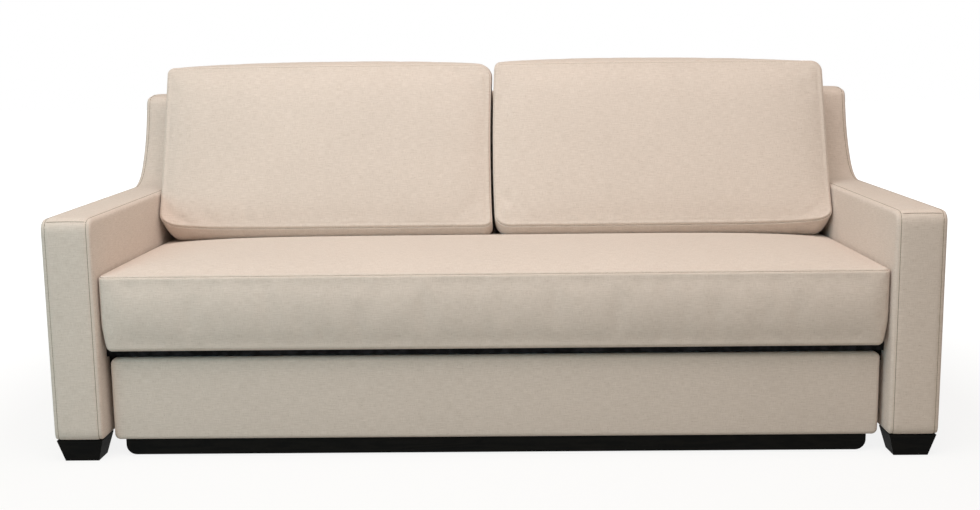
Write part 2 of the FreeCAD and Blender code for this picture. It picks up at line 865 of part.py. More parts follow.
# Arms, back and their frames
for name, sign in sides:
    shapes = (armCover(), armFrame())
    if sign == "-":
        shapes = [mirrored(shape) for shape in shapes]
    cover = fixed(f"ArmCover{name}", shapes[0])
    frame = fixed(f"ArmFrame{name}", shapes[1])
    drill = joined(f"ArmDrill{name}", [legHoles, backHoles, ledgeHoles])
    keep(cut(f"ArmCoverCut{name}", cover, drill), f"arm_cover_{name}")
    keep(cut(f"ArmFrameCut{name}", frame, drill), f"arm_frame_{name}")
keep(cut("BackCoverCut", fixed("BackCover", backCover()), backHoles), "back_cover")
keep(cut("BackFrameCut", fixed("BackFrame", backFrame()), backHoles), "back_frame")
keep(fixed("BackWebbing", backWebbing()), "back_webbing")


# Seat deck: square steel tubes on timber ledges, with slats and a black cloth
def tube(name, x, y, length, width, along):
    """Make a square tube along X or Y."""
    outer = block(name + "Outer", x, y, "deckBottom", length, width, "tubeHeight")
    low, high = "+ tubeWall", "- 2 * tubeWall"
    if along == "x":
        inner = block(name + "Inner", x, f"{y} {low}", "deckBottom + tubeWall",
                      length, f"{width} {high}", f"tubeHeight {high}")
    else:
        inner = block(name + "Inner", f"{x} {low}", y, "deckBottom + tubeWall",
                      f"{length} {high}", width, f"tubeHeight {high}")
    return cut(name, outer, inner)


deckHalf = f"({innerSide} - deckPlay)"
tubeRun = "(backFoot - deckFront - 2 * tubeWidth)"
for name, y in (("front", f"{front} + deckFront"), ("rear", f"{deckBack} - tubeWidth")):
    keep(tube(f"Tube{name}", f"-{deckHalf}", y, f"2 * {deckHalf}", "tubeWidth", "x"), f"deck_tube_{name}")
runStart = f"{front} + deckFront + tubeWidth"
for name, x in (("left", f"-{deckHalf}"), ("right", f"{deckHalf} - tubeWidth")):
    sideTube = tube(f"Tube{name}", x, runStart, "tubeWidth", tubeRun, "y")
    keep(cut(f"TubeCut{name}", sideTube, deckHoles), f"deck_tube_{name}")
keep(tube("TubeCentre", "-tubeWidth / 2", runStart, "tubeWidth", tubeRun, "y"), "deck_tube_centre")

slatLift = "(deckBottom + slatHolderWall)"
slats = []
holders = []
bay = f"(({deckHalf} - 1.5 * tubeWidth) / {deckSlatCount / 2:g})"
for i in range(deckSlatCount):
    if i < deckSlatCount / 2:
        middle = f"-{deckHalf} + tubeWidth + {i + 0.5} * {bay}"
    else:
        middle = f"tubeWidth / 2 + {i - deckSlatCount / 2 + 0.5} * {bay}"
    low = f"{middle} - slatWidth / 2"
    slats.append(block(f"DeckSlat{i}", low, f"{runStart} + slatHolderWall", slatLift,
                       "slatWidth", f"{tubeRun} - 2 * slatHolderWall", "slatThick"))
    for end, wall, lip in (("Front", f"{runStart}", f"{runStart}"),
                           ("Rear", f"{deckBack} - tubeWidth - slatHolderWall",
                            f"{deckBack} - tubeWidth - slatHolderLip")):
        parts = [
            block(f"HolderWall{end}{i}", low, wall, "deckBottom",
                  "slatWidth", "slatHolderWall", "tubeHeight"),
            block(f"HolderLip{end}{i}", low, lip, "deckBottom",
                  "slatWidth", "slatHolderLip", "slatHolderWall"),
        ]
        holders.append(joined(f"Holder{end}{i}", parts))
keep(grouped("DeckSlats", slats), "deck_slats")
keep(grouped("DeckSlatHolders", holders), "deck_slat_holders")
keep(block("DeckCloth", f"-{deckHalf}", f"{front} + deckFront", deckTop, f"2 * {deckHalf}",
           "backFoot - deckFront", "clothThick"), "deck_cloth")

ledgeDrill = joined("LedgeDrill", [ledgeHoles, deckHoles])
for name, sign in sides:
    x = ledgeInner if sign == "" else f"-{innerSide}"
    ledge = block(f"Ledge{name}", x, ledgeFront, ledgeLow, "ledgeWidth",
                  f"{deckBack} - {ledgeFront}", "ledgeHeight")
    keep(cut(f"LedgeCut{name}", ledge, ledgeDrill), f"deck_ledge_{name}")


# Legs: tapered blocks, narrower at the floor, with a sunk bolt
for end, name, sign, y in legPlaces:
    body = doc.addObject("PartDesign::Body", f"Leg{end}{name}")
    foot = newSketch(body, "XY_Plane", f"LegFoot{end}{name}")
    outline(foot, rectangle("(legTopWidth - legBottomWidth) / 2", "(legTopDepth - legBottomDepth) / 2",
                            "legBottomWidth", "legBottomDepth"))
    head = newSketch(body, "XY_Plane", f"LegHead{end}{name}")
    bind(head, "AttachmentOffset.Base.z", "legHeight")
    outline(head, rectangle("0", "0", "legTopWidth", "legTopDepth"))
    loft = body.newObject("PartDesign::AdditiveLoft", f"LegLoft{end}{name}")
    loft.Profile = foot
    loft.Sections = [head]
    for part, radius, depth in (
            ("Shank", "boltRadius + screwPlay", "legHeight"),
            ("Sink", "boltHeadRadius + screwPlay", "legBoltSink + boltHeadLength + screwPlay")):
        hole = newSketch(body, "XY_Plane", f"Leg{part}{end}{name}")
        circle(hole, "legTopWidth / 2", "legTopDepth / 2", radius)
        pocket = body.newObject("PartDesign::Pocket", f"Leg{part}Pocket{end}{name}")
        pocket.Profile = hole
        pocket.Reversed = True
        bind(pocket, "Length", depth)
    put(body, sideX(sign, legMiddle) + " - legTopWidth / 2", f"{y} - legTopDepth / 2")
    keep(body, f"leg_{end}_{name}")


# Guides on the arms and stops under the deck for the rolling bed
lead = "(guideThick - guideBevel)"
run = "(guideEnd - guideStart)"
guides = (
    ("left", f"-{innerSide}",
     [("0", "0"), ("guideThick", lead), ("guideThick", f"{run} - {lead}"), ("0", run)]),
    ("right", f"{innerSide} - guideThick",
     [("0", lead), ("guideThick", "0"), ("guideThick", run), ("0", f"{run} - {lead}")]),
)
for name, x, points in guides:
    body = padded(f"Guide{name}", "XY_Plane", points, "guideHeight")
    put(body, x, f"{front} + guideStart", "guideBottom")
    keep(body, f"guide_rail_{name}")

stopStart = f"{front} + deckFront + tubeWidth - stopLength"
keep(grouped("StopBlocks", [
    block(f"Stop{name}", f"{sign}stopPlace - stopWidth / 2", stopStart, "deckBottom - stopDrop",
          "stopWidth", "stopLength", "stopDrop") for name, sign in sides]), "stop_blocks")


# Cushions: each a cover, its foam and a zip tape behind
def cushion(label, shape, *tapePlace):
    """Add a cushion's cover, foam and zip; the shape is a function of how far it is moved in."""
    room = zipTape(*tapePlace, d.coverThick)
    keep(fixed(f"Cover{label}", hollow(shape(0), shape(d.coverThick), room)), f"{label}_cover")
    keep(fixed(f"Foam{label}", shape(d.coverThick + d.softGap)), f"{label}_foam")
    keep(fixed(f"Zip{label}", zipTape(*tapePlace)), f"{label}_zip")


seatBack = seatRear() + d.seatRearBulge
cushion("seat_cushion", seatCushion, side(seatBack, seatLow()), side(seatBack, seatLow() + d.seatHeight),
        0, 2 * (armInner - d.zipMargin))
for name, sign in (("left", -1), ("right", 1)):
    cushion(f"back_cushion_{name}", lambda inset, sign=sign: backCushion(sign, inset),
            *backFace(), sign * armInner / 2, armInner - 2 * d.zipMargin)


# Front panel, plinth and frame of the rolling bed
boardFront = f"({front} + panelFront + panelPad)"
keep(fixed("PanelPad", panelPad()), "front_panel_cover")
board = block("Board", f"-({panelHalf} - panelWrap)", boardFront, "panelBottom + panelWrap",
              f"2 * ({panelHalf} - panelWrap)", "boardThick", "panelTop - panelBottom - 2 * panelWrap")
keep(cut("BoardCut", board, panelHoles), "front_panel_board")

plinth = padded("Plinth", "XZ_Plane",
                rectangle("0", "0", "2 * plinthHalf", "panelBottom - softGap - plinthBottom"),
                f"{railFront} - {front} - plinthFront")
plinthPad = plinth.Tip
doc.recompute()
corners = [f"Edge{i}" for i, edge in enumerate(plinth.Shape.Edges, start=1)
           if edge.BoundBox.YLength > 1 and edge.BoundBox.ZMax < 0.01]
rounding = plinth.newObject("PartDesign::Fillet", "PlinthCorners")
rounding.Base = (plinthPad, corners)
bind(rounding, "Radius", "plinthCorner")
put(plinth, "-plinthHalf", railFront, "plinthBottom")
keep(plinth, "base_plinth")

# The front rail's lower edge steps up beyond the plinth, so its ends stay hidden behind the panel.
railSteps = [
    block(f"RailStep{name}", x, railFront, "frontRailBottom", f"{bedHalf} - plinthHalf + railStepIn",
          "railThick", "railBottom - frontRailBottom")
    for name, x in (("Left", f"-{bedHalf}"), ("Right", "plinthHalf - railStepIn"))]
railDrill = joined("RailDrill", [railHoles, panelHoles, casterHoles, *railSteps])
bedRun = f"({bedBackInner} - {railInner})"
rails = (
    ("front", f"-{bedHalf}", railFront, "frontRailBottom", f"2 * {bedHalf}", "railThick",
     "frontRailTop - frontRailBottom"),
    ("rear", f"-{bedHalf}", bedBackInner, "railBottom", f"2 * {bedHalf}", "railThick",
     "frontRailTop - railBottom"),
    ("left", f"-{bedHalf}", railInner, "railBottom", "railThick", bedRun, "railTop - railBottom"),
    ("right", bedInnerHalf, railInner, "railBottom", "railThick", bedRun, "railTop - railBottom"),
)
for name, *measures in rails:
    keep(cut(f"BedRailCut{name}", block(f"BedRail{name}", *measures), railDrill), f"bed_rail_{name}")

bedLedgeHalf = f"({bedInnerHalf} - cornerBlockLeg)"
keep(grouped("BedLedges", [
    block(f"BedLedge{name}", f"-{bedLedgeHalf}", y, "bedLedgeTop - bedLedgeHeight",
          f"2 * {bedLedgeHalf}", "beamWidth", "bedLedgeHeight")
    for name, y in (("Front", railInner), ("Rear", f"{bedBackInner} - beamWidth"))]), "bed_slat_ledges")
keep(block("Beam", f"-{bedInnerHalf}", f"({railInner} + {bedBackInner} - beamWidth) / 2", "railBottom",
           f"2 * {bedInnerHalf}", "beamWidth", "bedLedgeTop - railBottom"), "bed_centre_beam")
bedPitch = f"(2 * {bedInnerHalf} / {bedSlatCount})"
keep(grouped("BedSlats", [
    block(f"BedSlat{i}", f"-{bedInnerHalf} + {i + 0.5} * {bedPitch} - bedSlatWidth / 2", railInner,
          "bedLedgeTop", "bedSlatWidth", bedRun, "bedSlatThick") for i in range(bedSlatCount)]), "bed_slats")

blocks = []
for i, (x, y, turn) in enumerate((
        (f"-{bedInnerHalf}", railInner, 0), (bedInnerHalf, railInner, 90),
        (bedInnerHalf, bedBackInner, 180), (f"-{bedInnerHalf}", bedBackInner, 270))):
    body = padded(f"CornerBlock{i}", "XY_Plane",
                  [("0", "0"), ("cornerBlockLeg", "0"), ("0", "cornerBlockLeg")], "cornerBlockHeight")
    body.Placement.Rotation = Rotation(Vector(0, 0, 1), turn)
    put(body, x, y, "railBottom")
    blocks.append(body)
keep(grouped("CornerBlocks", blocks), "corner_blocks")

keep(grouped("StopCatches", [
    block(f"Catch{name}", f"{sign}stopPlace - stopWidth / 2", f"{bedBack} - catchThick", "frontRailTop",
          "stopWidth", "catchThick", "catchTop - frontRailTop") for name, sign in sides]), "stop_catches")

keep(fixed("MattressCover", hollow(mattress(), mattress(d.coverThick))), "mattress_cover")
keep(fixed("MattressFoam", mattress(d.coverThick + d.softGap)), "mattress_foam")


# Casters: a bent steel bracket under each side rail, with an axle and a wheel
forkHalf = "(wheelWidth / 2 + cheekPlay)"
axleHalf = f"({forkHalf} + cheekThick)"
brackets = []
axles = []
for end, name, sign, y in casterPlaces:
    tag = f"{end}{name}"
    x = sideX(sign, railMiddle)
    plate = block(f"Plate{tag}", f"{x} - {axleHalf}", f"{y} - plateLength / 2", plateBottom,
                  f"2 * {axleHalf}", "plateLength", "cheekThick")
    cheeks = [block(f"Cheek{tag}{i}", f"{x} {low}", f"{y} - cheekLength / 2",
                    "wheelRadius - cheekLength / 4", "cheekThick", "cheekLength",
                    f"{plateBottom} - wheelRadius + cheekLength / 4")
              for i, low in enumerate((f"- {axleHalf}", f"+ {forkHalf}"))]
    bore = rod(f"ForkBore{tag}", f"{x} - {axleHalf}", y, "wheelRadius", "+x", "axleRadius + axlePlay",
               f"2 * {axleHalf}")
    bent = joined(f"Fork{tag}", [plate, *cheeks])
    brackets.append(cut(f"ForkDrilled{tag}", cut(f"ForkBored{tag}", bent, bore), casterHoles))
    pin = rod(f"Pin{tag}", f"{x} - {axleHalf}", y, "wheelRadius", "+x", "axleRadius", f"2 * {axleHalf}")
    heads = [rod(f"PinHead{tag}{i}", f"{x} {low}", y, "wheelRadius", "+x",
                 "axleRadius + axleHead", "axleHead")
             for i, low in enumerate((f"- {axleHalf} - axleHead", f"+ {axleHalf}"))]
    axles.append(joined(f"Axle{tag}", [pin, *heads]))

    wheel = doc.addObject("PartDesign::Body", f"Wheel{tag}")
    sketch = newSketch(wheel, "XY_Plane", f"WheelHalf{tag}")
    tread = "wheelRadius - treadBevel"
    outline(sketch, [
        ("0", "axleRadius + axlePlay"), ("0", "hubRadius"), ("hubStep", "hubRadius"), ("hubStep", tread),
        ("hubStep + treadBevel", "wheelRadius"), ("wheelWidth - hubStep - treadBevel", "wheelRadius"),
        ("wheelWidth - hubStep", tread), ("wheelWidth - hubStep", "hubRadius"),
        ("wheelWidth", "hubRadius"), ("wheelWidth", "axleRadius + axlePlay")])
    turned = wheel.newObject("PartDesign::Revolution", f"WheelTurned{tag}")
    turned.Profile = sketch
    turned.ReferenceAxis = (sketch, ["H_Axis"])
    turned.Angle = 360
    put(wheel, f"{x} - wheelWidth / 2", y, "wheelRadius")
    keep(wheel, f"wheel_{end}_{name}")
keep(grouped("CasterBrackets", brackets), "caster_brackets")
keep(grouped("CasterAxles", axles), "caster_axles")


# Check and write
doc.recompute()
failed = [item.Label for item in doc.Objects if {"Invalid", "Error"} & set(item.State)]
failed += [item.Label for item in pieces if item.Shape.isNull() or not item.Shape.isValid()]
if failed:
    raise RuntimeError("failed: " + ", ".join(failed))
print("bed travel to its stops", d.bedRear - d.catchThick - d.deckFront - d.tubeWidth)
os.makedirs("parts", exist_ok=True)
for item in pieces:
    item.Shape.exportStep(f"parts/{item.Label}.step")
print(len(pieces), "sub-parts")
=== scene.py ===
import json
import math

import bmesh
import bpy
import numpy as np
from mathutils import Matrix, Vector
from mathutils.kdtree import KDTree


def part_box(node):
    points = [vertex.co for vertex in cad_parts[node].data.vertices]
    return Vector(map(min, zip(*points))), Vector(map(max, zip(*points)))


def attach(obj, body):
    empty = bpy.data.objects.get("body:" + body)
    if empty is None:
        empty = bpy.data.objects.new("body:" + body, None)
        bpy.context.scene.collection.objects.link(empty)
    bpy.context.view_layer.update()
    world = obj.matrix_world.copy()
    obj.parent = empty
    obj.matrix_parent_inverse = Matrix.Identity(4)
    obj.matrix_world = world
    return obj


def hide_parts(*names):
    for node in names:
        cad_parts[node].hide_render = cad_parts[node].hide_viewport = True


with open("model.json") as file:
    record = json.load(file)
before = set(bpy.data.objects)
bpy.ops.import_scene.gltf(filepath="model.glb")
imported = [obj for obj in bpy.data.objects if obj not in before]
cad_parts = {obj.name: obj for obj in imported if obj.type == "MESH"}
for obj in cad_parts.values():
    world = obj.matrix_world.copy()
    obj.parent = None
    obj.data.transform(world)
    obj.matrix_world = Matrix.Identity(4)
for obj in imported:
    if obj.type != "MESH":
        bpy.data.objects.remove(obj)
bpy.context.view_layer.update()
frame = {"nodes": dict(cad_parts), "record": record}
nodes = frame["nodes"]
scene = bpy.context.scene
print("frame loaded:", len(nodes), "nodes")


def newObject(name, data):
    made = bpy.data.objects.new(name, data)
    scene.collection.objects.link(made)
    return made


# Camera: where the photographer stood, in metres, with the view's turns in degrees
cameraView = {
    "place": (0.0436, -3.254, 0.9263), "lens": 43.63, "sensor": 36, "clip": (0.05, 60), "turnLeft": 0.98,
    "tiltDown": 8.734, "rollOver": -0.707,
}


def makeCamera(view):
    data = bpy.data.cameras.new("camera")
    data.lens, data.sensor_width = view["lens"], view["sensor"]
    data.clip_start, data.clip_end = view["clip"]
    camera = newObject("camera", data)
    turn = Matrix.Rotation(math.radians(view["turnLeft"]), 4, "Z")
    tilt = Matrix.Rotation(math.radians(90 - view["tiltDown"]), 4, "X")
    roll = Matrix.Rotation(math.radians(view["rollOver"]), 4, "Z")
    camera.matrix_world = Matrix.Translation(view["place"]) @ turn @ tilt @ roll
    scene.camera = camera


makeCamera(cameraView)


# Shader helpers: a small language for wiring nodes
class Wiring:
    def __init__(self, tree):
        self.tree = tree

    def add(self, kind, fed=(), **settings):
        # fed gives a value or a socket for inputs, by number or by name
        node = self.tree.nodes.new("ShaderNode" + kind)
        for name, value in settings.items():
            setattr(node, name, value)
        for socket, value in dict(fed).items():
            self.feed(node.inputs[socket], value)
        return node

    def join(self, source, target):
        self.tree.links.new(source, target)

    def feed(self, socket, value):
        if isinstance(value, bpy.types.NodeSocket):
            self.join(value, socket)
        elif value is not None:
            socket.default_value = value

    def math(self, operation, a, b=None, c=None, clamp=False):
        return self.add("Math", enumerate((a, b, c)), operation=operation, use_clamp=clamp).outputs[0]

    def times(self, a, b, clamp=False):
        return self.math("MULTIPLY", a, b, clamp=clamp)

    def plus(self, a, b):
        return self.math("ADD", a, b)

    def minus(self, a, b):
        return self.math("SUBTRACT", a, b)

    def spot(self):
        # the object's own coordinates
        return self.add("TexCoord").outputs["Object"]

    def noise(self, vector, scale, detail=2.0, roughness=0.5):
        return self.add("TexNoise", {"Vector": vector, "Scale": scale, "Detail": detail,
                                     "Roughness": roughness}).outputs[0]

    def stretch(self, vector, scale):
        return self.add("VectorMath", {0: vector, 1: scale}, operation="MULTIPLY").outputs[0]

    def ramp(self, value, low, high, outLow=0.0, outHigh=1.0):
        return self.add("MapRange", enumerate((value, low, high, outLow, outHigh))).outputs[0]

    def mix(self, share, a, b):
        return self.add("Mix", {0: share, 6: a, 7: b}, data_type="RGBA").outputs[2]

    def group(self, name, **values):
        return self.add("Group", values, node_tree=bpy.data.node_groups[name]).outputs

    def mixShaders(self, share, first, second, surface):
        self.join(self.add("MixShader", enumerate((share, first, second))).outputs[0], surface)


def newGroup(name, inputs, outputs):
    tree = bpy.data.node_groups.new(name, "ShaderNodeTree")
    for label, value in inputs.items():
        kind = "NodeSocketVector" if isinstance(value, tuple) else "NodeSocketFloat"
        tree.interface.new_socket(label, in_out="INPUT", socket_type=kind).default_value = value
    for label in outputs:
        tree.interface.new_socket(label, in_out="OUTPUT", socket_type="NodeSocketFloat")
    wires = Wiring(tree)
    return wires, tree.nodes.new("NodeGroupInput").outputs, tree.nodes.new("NodeGroupOutput").inputs


def flatCoordinates(wires):
    # lays the object's own coordinates flat on whichever way the surface faces
    place = wires.add("TexCoord").outputs
    spot = wires.add("SeparateXYZ", {0: place["Object"]}).outputs
    facing = wires.add("SeparateXYZ", {0: place["Normal"]}).outputs
    x, y, z = (wires.math("ABSOLUTE", part) for part in facing)
    sideways = wires.math("GREATER_THAN", x, wires.math("MAXIMUM", y, z))
    upwards = wires.math("GREATER_THAN", z, wires.math("MAXIMUM", x, y))

    def choose(switch, first, second):
        kept = wires.times(first, wires.minus(1.0, switch))
        return wires.math("MULTIPLY_ADD", second, switch, kept)

    return choose(sideways, spot[0], spot[1]), choose(upwards, spot[2], spot[1])


weaveShape = {
    "wander": 0.0022, "wanderScale": (60.0, 60.0, 0.0), "weftSlub": (42.0, 560.0, 0.0),
    "warpSlub": (640.0, 60.0, 0.0), "weftShare": 0.62, "threadShare": 0.7,
    "fleckScale": (210.0, 430.0, 0.0), "fleckRange": (0.66, 0.76),
}


def buildWeaveGroup(look):
    wires, given, out = newGroup("plainWeave", {"Threads": 900.0, "Slub": 1.0},
                                 ("Height", "Thread Tone", "Slub Tone", "Fleck"))
    across, along = flatCoordinates(wires)
    flat = wires.add("CombineXYZ", {0: across, 1: along}).outputs[0]
    wander = wires.noise(wires.stretch(flat, look["wanderScale"]), 1.0, 2.0)
    wander = wires.times(wires.minus(wander, 0.5), look["wander"])
    warp = wires.times(wires.plus(across, wander), given["Threads"])
    weft = wires.times(wires.plus(along, wander), given["Threads"])
    rounds = [wires.math("ABSOLUTE", wires.math("SINE", wires.times(thread, math.pi))) for thread in (warp, weft)]
    parity = wires.times(wires.math("COSINE", wires.times(warp, math.pi)),
                         wires.math("COSINE", wires.times(weft, math.pi)))
    over = wires.math("MULTIPLY_ADD", parity, 0.5, 0.5)
    warpShare = wires.times(rounds[0], over)
    weftShare = wires.times(rounds[1], wires.minus(1.0, over))
    lift = wires.plus(warpShare, weftShare)
    # thick places in the yarn run along the weft, fewer along the warp
    weftSlub = wires.noise(wires.stretch(flat, look["weftSlub"]), 1.0, 2.0, 0.55)
    warpSlub = wires.noise(wires.stretch(flat, look["warpSlub"]), 1.0, 2.0, 0.5)
    warpSlub = wires.times(warpSlub, 1 - look["weftShare"])
    slub = wires.math("MULTIPLY_ADD", weftSlub, look["weftShare"], warpSlub)
    raised = wires.times(wires.minus(slub, 0.5), given["Slub"])
    wires.feed(out["Height"], wires.plus(wires.times(lift, look["threadShare"]), raised))
    wires.feed(out["Thread Tone"], lift)
    wires.feed(out["Slub Tone"], slub)
    dots = wires.noise(wires.stretch(flat, look["fleckScale"]), 1.0, 1.0, 0.4)
    wires.feed(out["Fleck"], wires.ramp(dots, *look["fleckRange"]))


def buildMottleGroup():
    wires, given, out = newGroup("softMottle", {"Size": 6.0}, ("Broad", "Fine"))
    spot = wires.spot()
    wires.feed(out["Broad"], wires.noise(spot, given["Size"], 3.0, 0.55))
    wires.feed(out["Fine"], wires.noise(spot, wires.times(given["Size"], 14.0), 3.0, 0.6))


def buildGrainGroup():
    wires, given, out = newGroup("woodGrain", {"Lengthways": (1.0, 12.0, 12.0), "Rings": 9.0},
                                 ("Ring Tone", "Fibre", "Knot"))
    run = wires.stretch(wires.spot(), given["Lengthways"])
    bent = wires.noise(run, 1.6, 3.0, 0.5)
    rings = wires.math("SINE", wires.times(bent, wires.times(given["Rings"], 6.283)))
    wires.feed(out["Ring Tone"], wires.math("MULTIPLY_ADD", rings, 0.5, 0.5))
    wires.feed(out["Fibre"], wires.noise(run, 38.0, 4.0, 0.65))
    wires.feed(out["Knot"], wires.ramp(wires.noise(run, 1.1, 1.0), 0.68, 0.74))


def buildWearGroup():
    wires, given, out = newGroup("rubbedEdges", {"Spread": 1.0}, ("Wear", "Dust"))
    shape = wires.add("NewGeometry").outputs
    spot = wires.spot()
    patch = wires.noise(spot, 60.0, 4.0, 0.6)
    edge = wires.ramp(shape["Pointiness"], 0.505, 0.56)
    worn = wires.times(edge, wires.ramp(patch, 0.42, 0.62))
    wires.feed(out["Wear"], wires.times(worn, given["Spread"], clamp=True))
    settled = wires.ramp(wires.add("SeparateXYZ", {0: shape["Normal"]}).outputs[2], 0.4, 1.0)
    wires.feed(out["Dust"], wires.times(settled, wires.ramp(wires.noise(spot, 9.0, 5.0, 0.7), 0.4, 0.7)))


buildWeaveGroup(weaveShape)
buildMottleGroup()
buildGrainGroup()
buildWearGroup()
print("shader groups built")


def rgb(red, green, blue):
    # turns the numbers of a colour picker, 0 to 255, into the renderer's own
    def linear(number):
        share = number / 255
        return share / 12.92 if share <= 0.04045 else ((share + 0.055) / 1.055) ** 2.4
    return (linear(red), linear(green), linear(blue), 1.0)


def newMaterial(name, look, **fixed):
    material = bpy.data.materials.new(name)
    material.use_nodes = True
    shader = material.node_tree.nodes["Principled BSDF"]
    fixed = {"Roughness": look["roughness"], "Specular IOR Level": look["gloss"], **fixed}
    for label, value in fixed.items():
        shader.inputs[label].default_value = value
    return material, Wiring(material.node_tree), shader


def bumpTo(wires, shader, height, strength, distance):
    bump = wires.add("Bump", {"Strength": strength, "Distance": distance, "Height": height})
    wires.join(bump.outputs[0], shader.inputs["Normal"])


def coatShader(wires, shader, look, colour, texture, bump):
    # colour, a roughness that varies with a texture, and the same texture as relief
    wires.join(colour, shader.inputs["Base Color"])
    wires.feed(shader.inputs["Roughness"], wires.ramp(texture, 0.3, 0.7, look["roughness"] - look["smoother"],
                                                      look["roughness"] + look["rougher"]))
    bumpTo(wires, shader, texture, *bump)


linenLook = {
    "kind": "Cloth", "base": rgb(222, 209, 200), "pale": rgb(240, 229, 220), "deep": rgb(190, 174, 161),
    "fleck": rgb(156, 139, 122), "threads": 820.0, "roughness": 0.88, "sheen": 0.22, "gloss": 0.2, "bump": 0.42,
    "depth": 0.0007, "slub": 1.0, "evenness": 0.62, "paintedGrooveShade": 0.3, "fleckShare": 0.35,
}


def clothMaterial(name, look):
    material, wires, shader = newMaterial(name, look, **{"Sheen Weight": look["sheen"], "Sheen Roughness": 0.5})
    weave = wires.group("plainWeave", Threads=look["threads"], Slub=look["slub"])
    mottle = wires.group("softMottle", Size=5.0)
    tone = wires.ramp(weave["Slub Tone"], 0.34, 0.66)
    colour = wires.mix(tone, look["deep"], look["pale"])
    colour = wires.mix(look["evenness"], colour, look["base"])
    # painted shade: the colour darkens towards deep in the low places between the threads
    grooveShadeMask = wires.ramp(weave["Thread Tone"], 0.05, 0.55, 0.8, 0.0)
    colour = wires.mix(wires.times(grooveShadeMask, look["paintedGrooveShade"]), colour, look["deep"])
    colour = wires.mix(wires.times(weave["Fleck"], look["fleckShare"]),
                       colour, look["fleck"])
    shade = wires.ramp(mottle["Broad"], 0.3, 0.7, 0.985, 1.015)
    shade = wires.times(shade, wires.ramp(mottle["Fine"], 0.3, 0.7, 0.988, 1.012))
    shaded = wires.add("VectorMath", {0: colour, "Scale": shade}, operation="SCALE")
    wires.join(shaded.outputs[0], shader.inputs["Base Color"])
    wires.feed(shader.inputs["Roughness"], wires.ramp(weave["Slub Tone"], 0.3, 0.7,
                                                      look["roughness"] + 0.06, look["roughness"] - 0.06))
    bumpTo(wires, shader, weave["Height"], look["bump"], look["depth"])
    return material


woodCoat = {"kind": "Wood", "spread": 0.6, "smoother": 0.08, "rougher": 0.1, "knotShare": 0.5, "wornShare": 0.35}

woodLooks = {
    "pine": {**woodCoat, "light": rgb(224, 190, 140), "dark": rgb(184, 138, 86), "knot": rgb(122, 78, 44),
             "rings": 8.0, "lengthways": (1.2, 14.0, 9.0), "roughness": 0.62, "gloss": 0.35},
    "birch_slats": {**woodCoat, "light": rgb(232, 208, 168), "dark": rgb(204, 172, 128), "knot": rgb(160, 122, 84),
                    "rings": 6.0, "lengthways": (14.0, 1.2, 14.0), "roughness": 0.5, "gloss": 0.35},
    "black_timber": {**woodCoat, "light": rgb(17, 16, 14), "dark": rgb(7, 7, 6), "knot": rgb(5, 5, 5),
                     "rings": 7.0, "lengthways": (2.0, 16.0, 16.0), "roughness": 0.66, "gloss": 0.07},
}


def woodMaterial(name, look):
    material, wires, shader = newMaterial(name, look)
    grain = wires.group("woodGrain", Lengthways=look["lengthways"], Rings=look["rings"])
    wear = wires.group("rubbedEdges", Spread=look["spread"])
    colour = wires.mix(grain["Ring Tone"], look["light"], look["dark"])
    colour = wires.mix(wires.ramp(grain["Fibre"], 0.35, 0.7, 0.0, 0.35), colour, look["dark"])
    colour = wires.mix(wires.times(grain["Knot"], look["knotShare"]), colour, look["knot"])
    colour = wires.mix(wires.times(wear["Wear"], look["wornShare"]), colour, look["light"])
    coatShader(wires, shader, look, colour, grain["Fibre"], (0.25, 0.0006))
    return material


metalCoat = {"kind": "Metal", "mottle": 24.0, "spread": 1.0, "dust": rgb(150, 146, 138), "dustShare": 0.12,
             "smoother": 0.08, "rougher": 0.12, "bump": 0.08}
plasticCoat = {"kind": "Moulded", "mottle": 40.0, "spread": 0.8, "dust": rgb(140, 136, 128), "dustShare": 0.15,
               "smoother": 0.06, "rougher": 0.1, "bump": 0.15, "metallic": (0.0, 0.0), "gloss": 0.25}

# metallic goes from the sound surface to the worn one
hardLooks = {
    "black_steel": {**metalCoat, "base": rgb(9, 9, 10), "worn": rgb(46, 46, 48), "metallic": (0.0, 0.9),
                    "roughness": 0.7, "gloss": 0.1},
    "zinc_steel": {**metalCoat, "base": rgb(176, 180, 182), "worn": rgb(206, 208, 210), "metallic": (1.0, 1.0),
                   "roughness": 0.42, "gloss": 0.5},
    "bright_steel": {**metalCoat, "base": rgb(198, 200, 202), "worn": rgb(226, 228, 230), "metallic": (1.0, 1.0),
                     "roughness": 0.26, "gloss": 0.5},
    "black_plastic": {**plasticCoat, "base": rgb(12, 12, 13), "worn": rgb(40, 40, 42), "roughness": 0.6},
    "stop_plastic": {**plasticCoat, "base": rgb(34, 34, 35), "worn": rgb(86, 86, 88), "roughness": 0.46},
    "grey_wheel": {**plasticCoat, "base": rgb(96, 98, 100), "worn": rgb(142, 143, 144), "roughness": 0.58},
}


def hardMaterial(name, look):
    sound, worn = look["metallic"]
    material, wires, shader = newMaterial(name, look, Metallic=sound)
    mottle = wires.group("softMottle", Size=look["mottle"])
    wear = wires.group("rubbedEdges", Spread=look["spread"])
    colour = wires.mix(wear["Wear"], look["base"], look["worn"])
    colour = wires.mix(wires.times(wear["Dust"], look["dustShare"]), colour, look["dust"])
    if worn != sound:
        wires.feed(shader.inputs["Metallic"], wires.ramp(wear["Wear"], 0.0, 1.0, sound, worn))
    coatShader(wires, shader, look, colour, mottle["Fine"], (look["bump"], 0.0004))
    return material


foamLook = {"base": rgb(236, 224, 186), "deep": rgb(214, 196, 146), "cells": 420.0, "roughness": 0.9, "gloss": 0.15}


